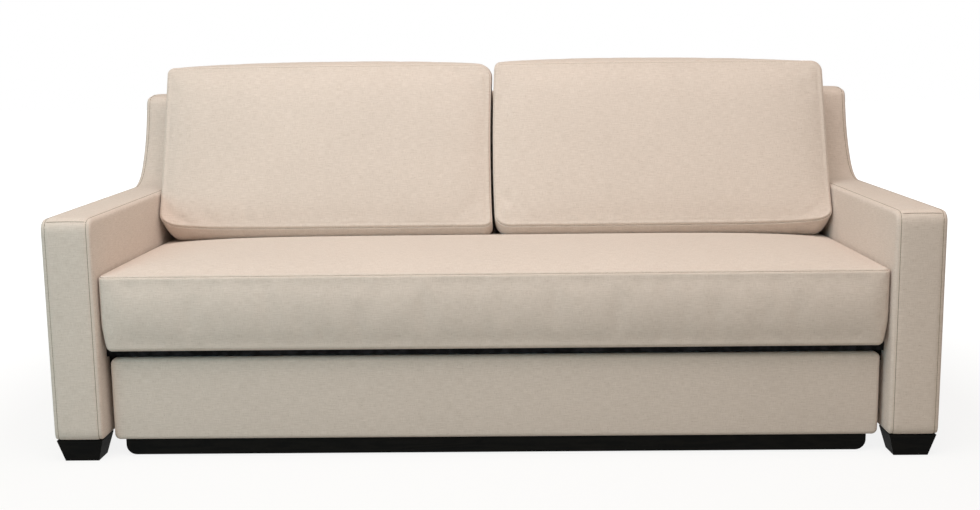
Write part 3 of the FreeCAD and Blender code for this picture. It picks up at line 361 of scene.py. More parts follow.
def foamMaterial(name, look):
    material, wires, shader = newMaterial(name, look)
    cells = wires.add("TexVoronoi", {"Vector": wires.spot(), "Scale": look["cells"]}).outputs[0]
    mottle = wires.group("softMottle", Size=7.0)
    share = wires.math("MULTIPLY_ADD", mottle["Broad"], 0.6, wires.times(cells, 0.5))
    wires.join(wires.mix(share, look["base"], look["deep"]), shader.inputs["Base Color"])
    bumpTo(wires, shader, cells, 0.5, 0.001)
    return material


clothLooks = {
    "ticking": {**linenLook, "base": rgb(226, 223, 214), "pale": rgb(240, 238, 231), "deep": rgb(196, 191, 178),
                "fleck": rgb(186, 180, 166), "threads": 1250.0, "roughness": 0.8, "sheen": 0.15, "bump": 0.25,
                "slub": 0.4, "evenness": 0.75, "fleckShare": 0.1},
    "black_cloth": {**linenLook, "base": rgb(18, 18, 19), "pale": rgb(30, 30, 31), "deep": rgb(10, 10, 11),
                    "fleck": rgb(42, 42, 42), "threads": 1100.0, "roughness": 0.95, "sheen": 0.02, "bump": 0.3,
                    "slub": 0.5, "evenness": 0.5, "fleckShare": 0.25},
    "webbing": {**linenLook, "base": rgb(206, 196, 172), "pale": rgb(226, 218, 196), "deep": rgb(150, 138, 112),
                "fleck": rgb(120, 96, 66), "threads": 420.0, "roughness": 0.85, "sheen": 0.1, "bump": 0.6,
                "slub": 0.5, "evenness": 0.5, "fleckShare": 0.3},
    "zip_tape": {**linenLook, "base": rgb(204, 191, 172), "pale": rgb(222, 211, 194), "deep": rgb(160, 146, 126),
                 "fleck": rgb(140, 126, 106), "threads": 1500.0, "roughness": 0.7, "sheen": 0.1, "bump": 0.4,
                 "slub": 0.2, "evenness": 0.6, "fleckShare": 0.1},
}

# dark thread colour for the stitches, also on the cord that paints the shade in each seam's crease
threadColourWithSeamShade = {"base": rgb(146, 130, 110), "deep": rgb(108, 94, 76), "twists": 900.0, "roughness": 0.75,
              "gloss": 0.2}


def makeThreadAndSeamShade(name, look):
    material, wires, shader = newMaterial(name, look)
    twist = wires.noise(wires.spot(), look["twists"])
    wires.join(wires.mix(wires.ramp(twist, 0.35, 0.65), look["base"], look["deep"]), shader.inputs["Base Color"])
    bumpTo(wires, shader, twist, 0.3, 0.0003)
    return material


seamShadeAndThread = makeThreadAndSeamShade("seamShadeAndThread", threadColourWithSeamShade)

finishes = {"linen": clothMaterial("oatmealLinen", linenLook), "foam": foamMaterial("cushionFoam", foamLook)}
for maker, looks in ((clothMaterial, clothLooks), (woodMaterial, woodLooks), (hardMaterial, hardLooks)):
    for slotName, look in looks.items():
        finishes[slotName] = maker(slotName + look["kind"], look)
print("materials built:", len(finishes))

for entry in frame["record"]["subparts"]:
    mesh = nodes[entry["node"]].data
    mesh.materials.clear()
    mesh.materials.append(finishes[entry["material_slot"]])


# Padded forms: a closed outline in four runs, given thickness, with sewn edges between face and band
edgeSteps = (0.0, 0.0013, 0.0032, 0.006, 0.0095, 0.014, 0.020)
cornerAngles = (45, 37, 29, 21, 14, 7, 0)
sewing = {"ringReach": 0.75, "grooveFade": 1.4, "grooveShare": 0.7}


def easedSteps(length, pitch):
    # places along a length, close together near both ends
    near = [step for step in edgeSteps if step < 0.45 * length]
    inner = length - 2 * near[-1]
    count = max(2, int(round(inner / pitch)))
    middle = [near[-1] + inner * i / count for i in range(1, count)]
    return near + middle + [length - step for step in reversed(near)]


def edgeRound(inset, depth, radius):
    # moves a point near a sewn edge on to its rounding
    a = max(0.0, radius - inset)
    b = max(0.0, radius - depth)
    reach = math.hypot(a, b)
    if reach < 1e-9 or a == 0.0 or b == 0.0:
        return inset, depth
    return radius - a * radius / reach, radius - b * radius / reach


def roundedRectangle(width, height, radii, pitch):
    # outline centred on the origin in four runs: bottom, right, top and left, corners shared
    # radii go bottom left, bottom right, top right, top left
    halfWidth, halfHeight = width / 2, height / 2

    def place(x, y):
        for signX, signY, radius in ((-1, -1, radii[0]), (1, -1, radii[1]), (1, 1, radii[2]), (-1, 1, radii[3])):
            coreX, coreY = signX * (halfWidth - radius), signY * (halfHeight - radius)
            dx, dy = x - coreX, y - coreY
            if signX * dx > 0 and signY * dy > 0:
                reach = math.hypot(dx, dy)
                share = max(abs(dx), abs(dy)) / reach
                return Vector((coreX + dx * share, coreY + dy * share))
        return Vector((x, y))

    def spread(length, first, last):
        # even angles through each corner, then the pitch between
        steps = []
        for radius, flip in ((first, False), (last, True)):
            part = [radius - radius * math.tan(math.radians(angle)) for angle in cornerAngles]
            steps.append([length - value for value in reversed(part)] if flip else part)
        run = steps[1][0] - steps[0][-1]
        count = max(2, int(round(length / pitch)))
        return steps[0] + [steps[0][-1] + run * i / count for i in range(1, count)] + steps[1]

    bottom = [place(x - halfWidth, -halfHeight) for x in spread(width, radii[0], radii[1])]
    right = [place(halfWidth, y - halfHeight) for y in spread(height, radii[1], radii[2])]
    top = [place(x - halfWidth, halfHeight) for x in spread(width, radii[3], radii[2])]
    left = [place(-halfWidth, y - halfHeight) for y in spread(height, radii[0], radii[3])]
    return bottom, right, top, left


def loopOf(sides):
    # one closed loop from the four runs, anticlockwise
    bottom, right, top, left = sides
    return bottom[:-1] + right[:-1] + top[::-1][:-1] + left[::-1][:-1]


def around(count):
    # each place of a closed loop, with the next one
    return [(i, (i + 1) % count) for i in range(count)]


def skin(form, first, second):
    # faces between two rings of vertices
    for i, j in around(len(first)):
        form.faces.new((first[i], first[j], second[j], second[i]))


def inwardNormals(loop):
    normals = []
    for i, j in around(len(loop)):
        run = loop[j] - loop[i - 1]
        normals.append(Vector((-run.y, run.x)).normalized())
    return normals


def sewnForm(name, sides, thickness, place, look, openBehind=False):
    # place(across, up, depth, inset) gives the point in space; depth 0 is the front face
    loop = loopOf(sides)
    normals = inwardNormals(loop)
    count = len(loop)
    columns, rows = len(sides[0]), len(sides[1])
    seamAt = look.get("seamAt", 0.0)
    ringSteps = [step for step in edgeSteps if 0 < step < look["smallestCorner"] * sewing["ringReach"]]
    form = bmesh.new()

    def grooveAt(distance):
        return look["groove"] * max(0.0, 1 - distance / look["grooveReach"]) ** sewing["grooveFade"]

    def spot(i, inset, depth):
        # inset from the outline and depth from the front face, before rounding
        fromFace = min(depth, thickness - depth)
        roundedInset, roundedDepth = edgeRound(inset, fromFace, look["edge"])
        sunk = grooveAt(abs(fromFace - seamAt) if inset == 0.0 else inset + seamAt)
        roundedInset += sunk * sewing["grooveShare"]
        roundedDepth += sunk * sewing["grooveShare"]
        realDepth = roundedDepth if depth <= thickness / 2 else thickness - roundedDepth
        flat = loop[i] + normals[i] * roundedInset
        return form.verts.new(place(flat.x, flat.y, realDepth, inset))

    band = easedSteps(thickness, look["pitch"])
    rings = {depth: [spot(i, 0.0, depth) for i in range(count)] for depth in band}
    for first, second in zip(band, band[1:]):
        skin(form, rings[first], rings[second])
    for face, depth in (("front", 0.0), ("rear", thickness)):
        outer = rings[band[0]] if face == "front" else rings[band[-1]]
        opened = openBehind and face == "rear"
        for inset in look["turnUnder"] if opened else ringSteps:
            inner = [spot(i, inset, depth) for i in range(count)]
            for i, j in around(count):
                corners = (outer[i], inner[i], inner[j], outer[j])
                form.faces.new(corners if face == "front" else corners[::-1])
            outer = inner
        if opened:
            continue
        # fill the inner loop with a grid blended from its four runs
        inset = ringSteps[-1]
        flat = [loop[i] + normals[i] * inset for i in range(count)]
        turn = list(range(count)) + [0]
        low, right = turn[:columns], turn[columns - 1:columns + rows - 1]
        high, left = turn[columns + rows - 2:-rows + 1][::-1], turn[-rows:][::-1]
        grid = [[None] * rows for _ in range(columns)]
        for c in range(columns):
            grid[c][0], grid[c][-1] = outer[low[c]], outer[high[c]]
        for r in range(rows):
            grid[0][r], grid[-1][r] = outer[left[r]], outer[right[r]]
        start, end = flat[low[0]], flat[low[-1]]
        topStart, topEnd = flat[high[0]], flat[high[-1]]
        for c in range(1, columns - 1):
            u = shareAlong(flat, low, high, c)
            for r in range(1, rows - 1):
                v = shareAlong(flat, left, right, r)
                point = (flat[low[c]] * (1 - v) + flat[high[c]] * v + flat[left[r]] * (1 - u) + flat[right[r]] * u
                         - start * (1 - u) * (1 - v) - end * u * (1 - v)
                         - topStart * (1 - u) * v - topEnd * u * v)
                distance = nearestEdge(point, flat, low[c], high[c], left[r], right[r]) + inset
                grid[c][r] = form.verts.new(place(point.x, point.y, depth, distance))
        for c in range(columns - 1):
            for r in range(rows - 1):
                corners = (grid[c][r], grid[c + 1][r], grid[c + 1][r + 1], grid[c][r + 1])
                form.faces.new(corners[::-1] if face == "front" else corners)
    form.verts.index_update()
    nearSeam = min(band, key=lambda depth: abs(depth - seamAt))
    farSeam = max(band, key=lambda depth: -abs(thickness - depth - seamAt))
    lines = {"near": [vert.index for vert in rings[nearSeam]], "far": [vert.index for vert in rings[farSeam]],
             "bands": [[vert.index for vert in rings[depth]] for depth in band if nearSeam <= depth <= farSeam]}
    return meshPiece(name, form), lines


def meshPiece(name, form, smooth=True):
    bmesh.ops.recalc_face_normals(form, faces=form.faces)
    mesh = bpy.data.meshes.new(name)
    form.to_mesh(mesh)
    form.free()
    mesh.polygons.foreach_set("use_smooth", [smooth] * len(mesh.polygons))
    return newObject(name, mesh)


def shareAlong(flat, first, second, i):
    # how far along two facing runs their places i lie
    shares = [(flat[run[i]] - flat[run[0]]).length / max(1e-6, (flat[run[-1]] - flat[run[0]]).length)
              for run in (first, second)]
    return (shares[0] + shares[1]) / 2


def nearestEdge(point, flat, *indices):
    return min((point - flat[i]).length for i in indices)


def finishPiece(piece, body, slotName, replaced=(), material=None):
    piece.data.materials.append(material or finishes[slotName])
    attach(piece, body)
    if replaced:
        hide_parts(*replaced)


def plump(share, power):
    # 0 at an edge and 1 in the middle of a panel
    return 1 - abs(2 * min(1.0, max(0.0, share)) - 1) ** power


def eased(value, low, high):
    share = min(1.0, max(0.0, (value - low) / (high - low)))
    return share * share * (3 - 2 * share)


# Stuffing: a coarse copy swells under pressure, held along its seams, and the piece follows it
stuffing = {
    "voxel": 0.013, "pressure": 4.0, "frames": 20, "heldNear": 0.016, "slack": -0.012, "quality": 4,
    "followed": 6,
}


def coordinates(mesh):
    numbers = np.empty(len(mesh.vertices) * 3)
    mesh.vertices.foreach_get("co", numbers)
    return numbers.reshape(-1, 3)


def treeOf(points):
    tree = KDTree(len(points))
    for i, point in enumerate(points):
        tree.insert(point, i)
    tree.balance()
    return tree


def stuff(piece, seams, rests, gives, cap):
    # rests(point) tells what lies against something, gives(point) how freely a point may move each way
    copy = newObject("stuffing", piece.data.copy())
    even = copy.modifiers.new("even", "REMESH")
    even.mode = "VOXEL"
    even.voxel_size = stuffing["voxel"]
    coarse = bpy.data.meshes.new_from_object(copy.evaluated_get(bpy.context.evaluated_depsgraph_get()))
    copy.modifiers.clear()
    copy.data = coarse
    still = coordinates(coarse)
    points = coordinates(piece.data)
    seamTree = treeOf([points[i] for i in seams])
    held = copy.vertex_groups.new(name="held")
    pinned = [i for i, point in enumerate(still)
              if rests(point) or seamTree.find(point)[2] < stuffing["heldNear"]]
    held.add(pinned, 1.0, "REPLACE")
    cloth = copy.modifiers.new("cloth", "CLOTH")
    cloth.settings.quality = stuffing["quality"]
    cloth.settings.vertex_group_mass = "held"
    cloth.settings.use_pressure = True
    cloth.settings.uniform_pressure_force = stuffing["pressure"]
    cloth.settings.effector_weights.gravity = 0
    cloth.settings.shrink_min = stuffing["slack"]
    cloth.collision_settings.use_collision = False
    cloth.point_cache.frame_end = stuffing["frames"]
    for number in range(1, stuffing["frames"] + 1):
        scene.frame_set(number)
    swollen = copy.evaluated_get(bpy.context.evaluated_depsgraph_get())
    moved = coordinates(swollen.data) - still
    scene.frame_set(1)
    length = np.linalg.norm(moved, axis=1)
    moved *= (cap * np.tanh(length / cap) / np.maximum(length, 1e-9))[:, None]
    tree = treeOf(still)
    for i, point in enumerate(points):
        shares = 0.0
        shift = np.zeros(3)
        for _, nearest, distance in tree.find_n(point, stuffing["followed"]):
            share = 1 / (distance * distance + 1e-6)
            shares += share
            shift += moved[nearest] * share
        points[i] = point + shift / shares * np.array(gives(point))
    piece.data.vertices.foreach_set("co", points.ravel())
    piece.data.update()
    bpy.data.objects.remove(copy)
    print(piece.name, "swollen by up to", round(float(length.max()) * 1000, 1), "mm before its cap")


# Seams: a dark cord sunk between two edges that paints the shade in the crease, and short stitches of thread over
# it
# thread is the radius of the sunk cord, dark painted crease shade on the linen, and threadPitch the spacing of its
# rings
seamLook = {
    "thread": 0.0007, "threadPitch": 0.006, "stitchLength": 0.0044, "stitchGap": 0.0030,
    "stitchHalf": 0.0006, "stitchProud": 0.0005,
}


def lineOn(piece, indices, closed=True):
    # points and outward directions of a row of a piece's vertices
    chosen = list(indices) + ([indices[0]] if closed else [])
    vertices = piece.data.vertices
    return [(vertices[i].co.copy(), vertices[i].normal.copy()) for i in chosen]


def lengthsAlong(points):
    lengths = [0.0]
    for a, b in zip(points, points[1:]):
        lengths.append(lengths[-1] + (b - a).length)
    return lengths


def evenPlaces(lengths, count):
    # evenly spaced places along a polyline: which run each is on, and how far along that run
    k = 0
    for i in range(count + 1):
        target = lengths[-1] * i / count
        while k < len(lengths) - 2 and lengths[k + 1] < target:
            k += 1
        yield k, (target - lengths[k]) / max(1e-9, lengths[k + 1] - lengths[k])


def along(line, spacing):
    # the line again at an even spacing, with its direction
    lengths = lengthsAlong([point for point, _ in line])
    result = []
    for k, share in evenPlaces(lengths, max(2, int(lengths[-1] / spacing))):
        (a, first), (b, second) = line[k], line[k + 1]
        result.append((a.lerp(b, share), first.lerp(second, share).normalized(), (b - a).normalized()))
    return result


# a cord along a seam: on the linen its dark colour is painted shade in the crease, on the mattress it is the taped
# edge
def addShadeLineAndTape(form, line, look):
    rows = []
    for point, up, ahead in along(line, look["threadPitch"]):
        across = ahead.cross(up).normalized() * look["thread"]
        rise = up * look["thread"]
        rows.append([form.verts.new(point + shift) for shift in (across, rise, -across, -rise)])
    for first, second in zip(rows, rows[1:]):
        skin(form, first, second)
    form.faces.new(rows[0])
    form.faces.new(rows[-1][::-1])


def addStitches(form, line, look):
    pitch = look["stitchLength"] + look["stitchGap"]
    for point, up, ahead in along(line, pitch)[:-1]:
        across = ahead.cross(up).normalized() * look["stitchHalf"]
        reach = ahead * look["stitchLength"] / 2
        centre = point + up * look["stitchProud"]
        rise = up * look["stitchHalf"]
        start, end = form.verts.new(centre - reach - rise), form.verts.new(centre + reach - rise)
        ring = [form.verts.new(centre + shift) for shift in (across, rise, -across, -rise)]
        for i, j in around(4):
            form.faces.new((start, ring[i], ring[j]))
            form.faces.new((end, ring[j], ring[i]))


def sewSeams(name, body, lines, rows, look=seamLook, material=seamShadeAndThread, slotName="linen"):
    form = bmesh.new()
    for line in lines:
        addShadeLineAndTape(form, line, look)
    for line in rows:
        addStitches(form, line, look)
    finishPiece(meshPiece(name, form, smooth=False), body, slotName, material=material)


outlinePitch = 0.0155


def makeCushion(body, sides, thickness, place, look, rests, gives):
    piece, seams = sewnForm(f"{body}_upholstery", sides, thickness, place, look)
    stuff(piece, seams["near"] + seams["far"], rests, gives, look["swell"])
    finishPiece(piece, body, "linen", [f"{body}_cover", f"{body}_foam"])
    lines = [lineOn(piece, seams[side]) for side in ("near", "far")]
    sewSeams(f"{body}_seams", body, lines, lines[:1])


# Seat cushion: a boxed cushion the full width between the arms
seat = {
    "crown": 0.0235, "crownPower": 2.1, "crownEnds": 6, "crownFade": 0.9, "swellPower": 2.2,
    "swellEnds": 12, "taperEnds": 20, "frontSwell": 0.0055, "rearSwell": 0.002, "smallestCorner": 0.020,
    "edge": 0.0085, "groove": 0.0030, "grooveReach": 0.0036, "pitch": 0.014, "undersideTaper": 0.012,
    "taperFrom": 0.55, "taperSpan": 0.2, "swellReach": 0.06, "boxing": 0.184, "swell": 0.010, "fill": 0.85,
    "restsBelow": 0.006, "restsBeside": 0.004, "freeInFront": (-0.04, 0.02),
}


def buildSeat(look):
    low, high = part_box("seat_cushion_cover")
    width = high.x - low.x - 0.001
    front, back = low.y + look["frontSwell"] + 0.001, high.y - look["rearSwell"]
    depth = back - front
    boxing = look["boxing"]
    middleX, middleY = (low.x + high.x) / 2, (front + back) / 2
    sides = roundedRectangle(width, depth, [look["smallestCorner"]] * 4, outlinePitch)

    def place(across, up, level, inset):
        # level 0 is the top panel, the full thickness is the underside
        x = across + middleX
        y = up + middleY
        down = level / boxing
        u = (across + width / 2) / width
        v = (up + depth / 2) / depth
        ends = plump(u, look["crownEnds"]) ** look["crownFade"]
        z = low.z + boxing - level
        z += look["crown"] * (1 - down) ** 2 * plump(v, look["crownPower"]) * ends
        swell = plump(down, look["swellPower"]) * plump(u, look["swellEnds"])
        y -= look["frontSwell"] * swell * max(0.0, 1 - v / look["swellReach"])
        y += look["rearSwell"] * swell * max(0.0, 1 - (1 - v) / look["swellReach"])
        # the sides draw in towards the underside
        pinch = look["undersideTaper"] * max(0.0, down - look["taperFrom"]) ** 2 / look["taperSpan"]
        x -= math.copysign(pinch, across) * min(1.0, abs(across) / (width / 2)) ** look["taperEnds"]
        return x, y, z

    def rests(point):
        if point[2] < low.z + look["restsBelow"] or point[1] > back - look["restsBelow"]:
            return True
        return abs(point[0]) > width / 2 - look["restsBeside"]

    def gives(point):
        # nothing moves under the back cushions or against the arms
        free = 1 - eased(point[1], *look["freeInFront"])
        return 0.0, free, free

    makeCushion("seat_cushion", sides, boxing, place, look, rests, gives)


buildSeat(seat)
print("seat cushion built")


# The back's inner face leans; its foot is measured from the front of the arms
backRest = {
    "foot": 0.742, "recline": 12.3, "under": 0.25, "panel": 0.050, "smallRound": 0.004, "pitch": 0.014,
    "step": 0.03, "crown": 0.0015, "rearSeam": 0.014,
}
halfDepth = 0.49

# Back cushions: leaning boxes, thick below and thin above
backPair = {
    "crown": 0.016, "crownPowers": (3.2, 2.6), "edge": 0.0085, "groove": 0.0028, "grooveReach": 0.0036,
    "pitch": 0.016,
    "corners": {"left": (0.062, 0.030, 0.040, 0.018), "right": (0.046, 0.048, 0.030, 0.015)},
    "smallestCorner": 0.015, "underRoll": 0.044, "rollBend": 1.4, "rollFade": 6, "outerRoll": 0.35,
    "outerFade": 10, "frontLow": 0.030, "frontHigh": 0.212,
    "topEdge": {"left": 0.9495, "right": 0.9500},
    "topTilt": {"left": 0.0, "right": -0.0055},
    "topCrown": 0.013, "topPower": 2.4, "topReach": 0.1, "lean": 0.006, "meet": 0.0011, "meetFade": 6,
    "swell": 0.012, "fill": 0.8, "depth": 0.23, "rests": 0.008, "beside": 0.01, "freeAbove": (0.05, 0.12),
    "calmTop": (0.06, 0.02), "topFreedom": 0.2,
}


def buildBackCushion(look, label, sign):
    low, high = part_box(f"back_cushion_{label}_cover")
    width = high.x - low.x - 0.001
    bottom = low.z
    height = look["topEdge"][label] - bottom
    middleX = (low.x + high.x) / 2
    sides = roundedRectangle(width, height, look["corners"][label], outlinePitch)
    slope = math.tan(math.radians(backRest["recline"]))
    rearFoot = backRest["foot"] - halfDepth - backRest["under"] * slope

    def rear(z):
        return rearFoot + slope * z - 0.001

    def place(across, up, level, inset):
        x = across + middleX
        z = bottom + up + height / 2
        share = level / look["depth"]
        u = (across + width / 2) / width
        v = min(1.0, max(0.0, (up + height / 2) / height))
        frontY = look["frontLow"] + (look["frontHigh"] - look["frontLow"]) * v
        y = frontY + (rear(z) - frontY) * share
        crownAcross, crownUp = look["crownPowers"]
        y -= look["crown"] * plump(u, crownAcross) * plump(v, crownUp) * (1 - share) ** 2
        # the boxing rolls under below the front seam, most at the arm
        meeting = u if sign < 0 else 1 - u
        roll = look["underRoll"] * (1 + look["outerRoll"] * (1 - min(1.0, meeting)) ** look["outerFade"])
        z += roll * max(0.0, 1 - level / roll) ** look["rollBend"] * (1 - v) ** look["rollFade"]
        lift = look["topCrown"] * plump(u, look["topPower"]) + look["topTilt"][label] * (2 * u - 1)
        z += lift * max(0.0, (v - (1 - look["topReach"])) / look["topReach"]) * plump(share * 0.9 + 0.05, 2)
        # the right cushion bulges over the left one where they meet
        x -= (look["lean"] * plump(v, 2) + sign * look["meet"]) * meeting ** look["meetFade"]
        return x, y, z

    def rests(point):
        return point[1] > rear(point[2]) - look["rests"] or point[2] < bottom + look["rests"]

    def gives(point):
        # held against the arm, the other cushion and the seat below
        side = 1 - eased(abs(point[0] - middleX), width / 2 - look["beside"], width / 2)
        top = look["topEdge"][label]
        upper = 1 - (1 - look["topFreedom"]) * eased(point[2], *(top - reach for reach in look["calmTop"]))
        return 0.0, 1.0, eased(point[2], *(bottom + rise for rise in look["freeAbove"])) * side * upper

    makeCushion(f"back_cushion_{label}", sides, look["depth"], place, look, rests, gives)


for label, sign in (("left", -1), ("right", 1)):
    buildBackCushion(backPair, label, sign)
print("back cushions built")


# Arms: slabs with a swept side outline, sewn round the front and along the top
arm = {
    "innerX": 0.947, "thickness": 0.120, "depth": 0.98, "footLow": 0.054, "frontTop": 0.595,
    "rearTop": 0.6045, "sweepStart": 0.704, "sweepLowRadius": 0.130, "sweepLowAngle": 52,
    "sweepHighRadius": 0.400, "sweepHighAngle": 75, "wingTop": 0.861, "wingSlope": 9, "wingCorner": 0.022,
    "noseRadius": 0.025, "footRadius": 0.014, "smallestCorner": 0.014, "edge": 0.0105, "seamAt": 0.0095,
    "groove": 0.0020, "grooveReach": 0.0034, "pitch": 0.012, "sideCrown": 0.004, "sideFrom": 0.6,
    "sideHeight": 0.55, "sidePowers": (5, 4), "bandCrown": 0.0022, "bandPower": 2.6,
    "bandFront": (0.0, 0.04), "bandTop": (0.56, 0.595), "uprightPoints": 42, "lengthwaysPoints": 92,
}


def armTopLine(look):
    # the top of the arm from front to back as (depth, height), before its corners are rounded
    rise = math.atan2(look["rearTop"] - look["frontTop"], look["sweepStart"])
    lowAngle, highAngle = math.radians(look["sweepLowAngle"]), math.radians(look["sweepHighAngle"])
    lowRadius, highRadius = look["sweepLowRadius"], look["sweepHighRadius"]

    def onArc(centre, radius, angle):
        return centre + Vector((math.sin(angle), -math.cos(angle))) * radius

    start = Vector((look["sweepStart"], look["rearTop"]))
    lowCentre = start - onArc(Vector((0, 0)), lowRadius, rise)
    highCentre = onArc(lowCentre, lowRadius - highRadius, lowAngle)
    line = [Vector((0.0, look["frontTop"])).lerp(start, i / 48) for i in range(48)]
    line += [onArc(lowCentre, lowRadius, rise + (lowAngle - rise) * i / 14) for i in range(14)]
    line += [onArc(highCentre, highRadius, lowAngle + (highAngle - lowAngle) * i / 15) for i in range(16)]
    last = line[-1]
    slope = math.tan(math.radians(look["wingSlope"]))
    crest = Vector((last.x + (look["wingTop"] - last.y) / math.tan(highAngle), look["wingTop"]))
    line += [last.lerp(crest, i / 5) for i in range(1, 6)]
    rear = Vector((look["depth"], crest.y + (look["depth"] - crest.x) * slope))
    return line + [crest.lerp(rear, i / 12) for i in range(1, 13)]


def roundCorner(line, corner, radius, steps=7):
    # replaces what lies within reach of a corner of a polyline by an arc
    point = line[corner]
    before = (line[corner - 1] - point).normalized()
    after = (line[(corner + 1) % len(line)] - point).normalized()
    half = before.angle(after) / 2
    reach = radius / math.tan(half)
    centre = point + (before + after).normalized() * radius / math.sin(half)
    first = point + before * reach - centre
    last = point + after * reach - centre
    turn = -first.angle_signed(last)
    arc = []
    for i in range(steps):
        angle = turn * i / (steps - 1)
        arc.append(centre + Vector((first.x * math.cos(angle) - first.y * math.sin(angle),
                                    first.x * math.sin(angle) + first.y * math.cos(angle))))
    return ([other for other in line[:corner] if (other - point).length > reach * 1.02] + arc
            + [other for other in line[corner + 1:] if (other - point).length > reach * 1.02])


def resampled(line, count):
    # the same polyline with a given number of points, evenly spaced
    return [line[k].lerp(line[k + 1], min(1.0, share)) for k, share in evenPlaces(lengthsAlong(line), count - 1)]


def nearestPoint(line, point):
    return min(range(len(line)), key=lambda i: (line[i] - point).length)


def armSides(look):
    # the outline in four runs that meet in the middle of each corner
    top = armTopLine(look)
    floor, radius, depth = look["footLow"], look["footRadius"], look["depth"]
    upright, lengthways = look["uprightPoints"], look["lengthwaysPoints"]
    crest = max(range(1, len(top) - 1), key=lambda i: (top[i] - top[i - 1]).angle(top[i + 1] - top[i]))
    line = roundCorner(top, crest, look["wingCorner"])
    line = [Vector((0.0, floor + 0.2))] + line + [Vector((depth, floor + 0.2))]
    line = roundCorner(line, 1, look["noseRadius"])
    line = roundCorner(line, len(line) - 2, look["wingCorner"])
    nose = nearestPoint(line, Vector((0.0, look["frontTop"])))
    tail = nearestPoint(line, top[-1])

    def foot(centre, start, end):
        return [Vector((centre + radius * math.cos(math.radians(angle)),
                        floor + radius + radius * math.sin(math.radians(angle))))
                for angle in np.linspace(start, end, 5)]

    front = resampled(foot(radius, 225, 180) + line[1:nose + 1], upright)
    rear = resampled(foot(depth - radius, -45, 0) + line[tail:-1][::-1], upright)
    bottom = resampled(foot(radius, 225, 270) + foot(depth - radius, 270, 315), lengthways)
    return bottom, rear, resampled(line[nose:tail + 1], lengthways), front


def buildArm(look, label, sign):
    thickness, depth = look["thickness"], look["depth"]
    sides = armSides(look)
    lengthways, upwards = look["sidePowers"]

    def place(across, up, level, inset):
        share = level / thickness
        band = look["bandCrown"] * plump(share, look["bandPower"])
        outer = look["sideCrown"] * eased(level, look["sideFrom"] * thickness, thickness)
        raised = plump((up - look["footLow"]) / look["sideHeight"], upwards)
        x = look["innerX"] + level + outer * plump(across / depth, lengthways) * raised
        y = across - depth / 2 - band * (1 - eased(across, *look["bandFront"]))
        z = up + band * eased(up, *look["bandTop"])
        return sign * x, y, z

    piece, seams = sewnForm(f"arm_{label}_upholstery", sides, thickness, place, look)
    finishPiece(piece, "sofa", "linen", [f"arm_cover_{label}"])
    # the top-left corner of the outline is the arm's nose
    nose = len(sides[0]) + len(sides[1]) + len(sides[2]) - 3
    across = lineOn(piece, [ring[nose] for ring in seams["bands"]], closed=False)
    lines = [lineOn(piece, seams[side]) for side in ("near", "far")] + [across]
    sewSeams(f"arm_{label}_seams", "sofa", lines, lines)


for label, sign in (("left", -1), ("right", 1)):
    buildArm(arm, label, sign)
print("arms built")


# Inside back, top and rear of the back: one cover between the arms
def backOutline(look):
    # side view of the back as (depth, height), anticlockwise from its foot at the rear
    lean = math.tan(math.radians(look["recline"]))
    slope = math.tan(math.radians(arm["wingSlope"]))
    depth, ridge = arm["depth"], armTopLine(arm)[-1].y
    atFloor = look["foot"] - look["under"] * lean
    height = (ridge - slope * (depth - atFloor)) / (1 - slope * lean)
    line = [Vector(corner) for corner in (
        (depth, arm["footLow"]), (depth, ridge), (atFloor + height * lean, height), (look["foot"], look["under"]),
        (depth - look["panel"], look["under"]), (depth - look["panel"], arm["footLow"]))]
    corners, radii = line[1:5], [arm["wingCorner"]] * 2 + [look["smallRound"]] * 2
    for corner, radius in zip(corners, radii):
        line = roundCorner(line, nearestPoint(line, corner), radius)
    # even steps along each run, with the arcs' own points kept
    result = []
    for a, b in zip(line, line[1:] + line[:1]):
        count = max(1, int((b - a).length / look["pitch"]))
        result += [a.lerp(b, i / count) for i in range(count)]
    return result


def buildBackRest(look):
    outline = backOutline(look)
    half = arm["innerX"]
    count = int(2 * half / look["step"])
    form = bmesh.new()
    rows = []
    for i in range(count + 1):
        x = -half + 2 * half * i / count
        bulge = look["crown"] * plump(i / count, 6)
        rows.append([form.verts.new((x, point.x - arm["depth"] / 2 + bulge * eased(point.x, 0.97, 0.98), point.y))
                     for point in outline])
    for first, second in zip(rows, rows[1:]):
        skin(form, first, second)
    form.faces.new(rows[0])
    form.faces.new(rows[-1][::-1])
    form.verts.index_update()
    numbers = [[vert.index for vert in row] for row in rows]
    piece = meshPiece("back_upholstery", form)
    finishPiece(piece, "sofa", "linen", ["back_cover"])
    ridge = max(outline, key=lambda point: point.y + point.x)
    seams = []
    for seamX, seamZ in ((ridge.x, ridge.y - look["rearSeam"]), (arm["depth"], arm["footLow"] + look["rearSeam"])):
        j = nearestPoint(outline, Vector((seamX, seamZ)))
        seams.append(lineOn(piece, [row[j] for row in numbers], closed=False))
    sewSeams("back_seams", "sofa", seams, seams)


buildBackRest(backRest)
print("back built")


# Front panel of the rolling bed: cloth over padding and a board, open behind
frontPanel = {
    "depth": 0.034, "smallestCorner": 0.014, "edge": 0.009, "groove": 0.0, "grooveReach": 0.004,
    "pitch": 0.012, "crown": 0.0035, "crownPowers": (2.6, 24), "turnUnder": (0.0013, 0.004),
}


def buildFrontPanel(look):
    low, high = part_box("front_panel_cover")
    width, height = high.x - low.x, high.z - low.z
    sides = roundedRectangle(width, height, [look["smallestCorner"]] * 4, outlinePitch)

    def place(across, up, level, inset):
        crownUp, crownAcross = look["crownPowers"]
        crown = look["crown"] * (1 - level / look["depth"]) * plump(up / height + 0.5, crownUp)
        crown *= plump(across / width + 0.5, crownAcross)
        return across, low.y + 0.001 + level - crown, (low.z + high.z) / 2 + up

    piece, seams = sewnForm("front_panel_upholstery", sides, look["depth"], place, look, openBehind=True)
    finishPiece(piece, "bed", "linen", ["front_panel_cover"])
    sewSeams("front_panel_hem", "bed", [lineOn(piece, seams["far"])], [])


buildFrontPanel(frontPanel)
print("front panel built")


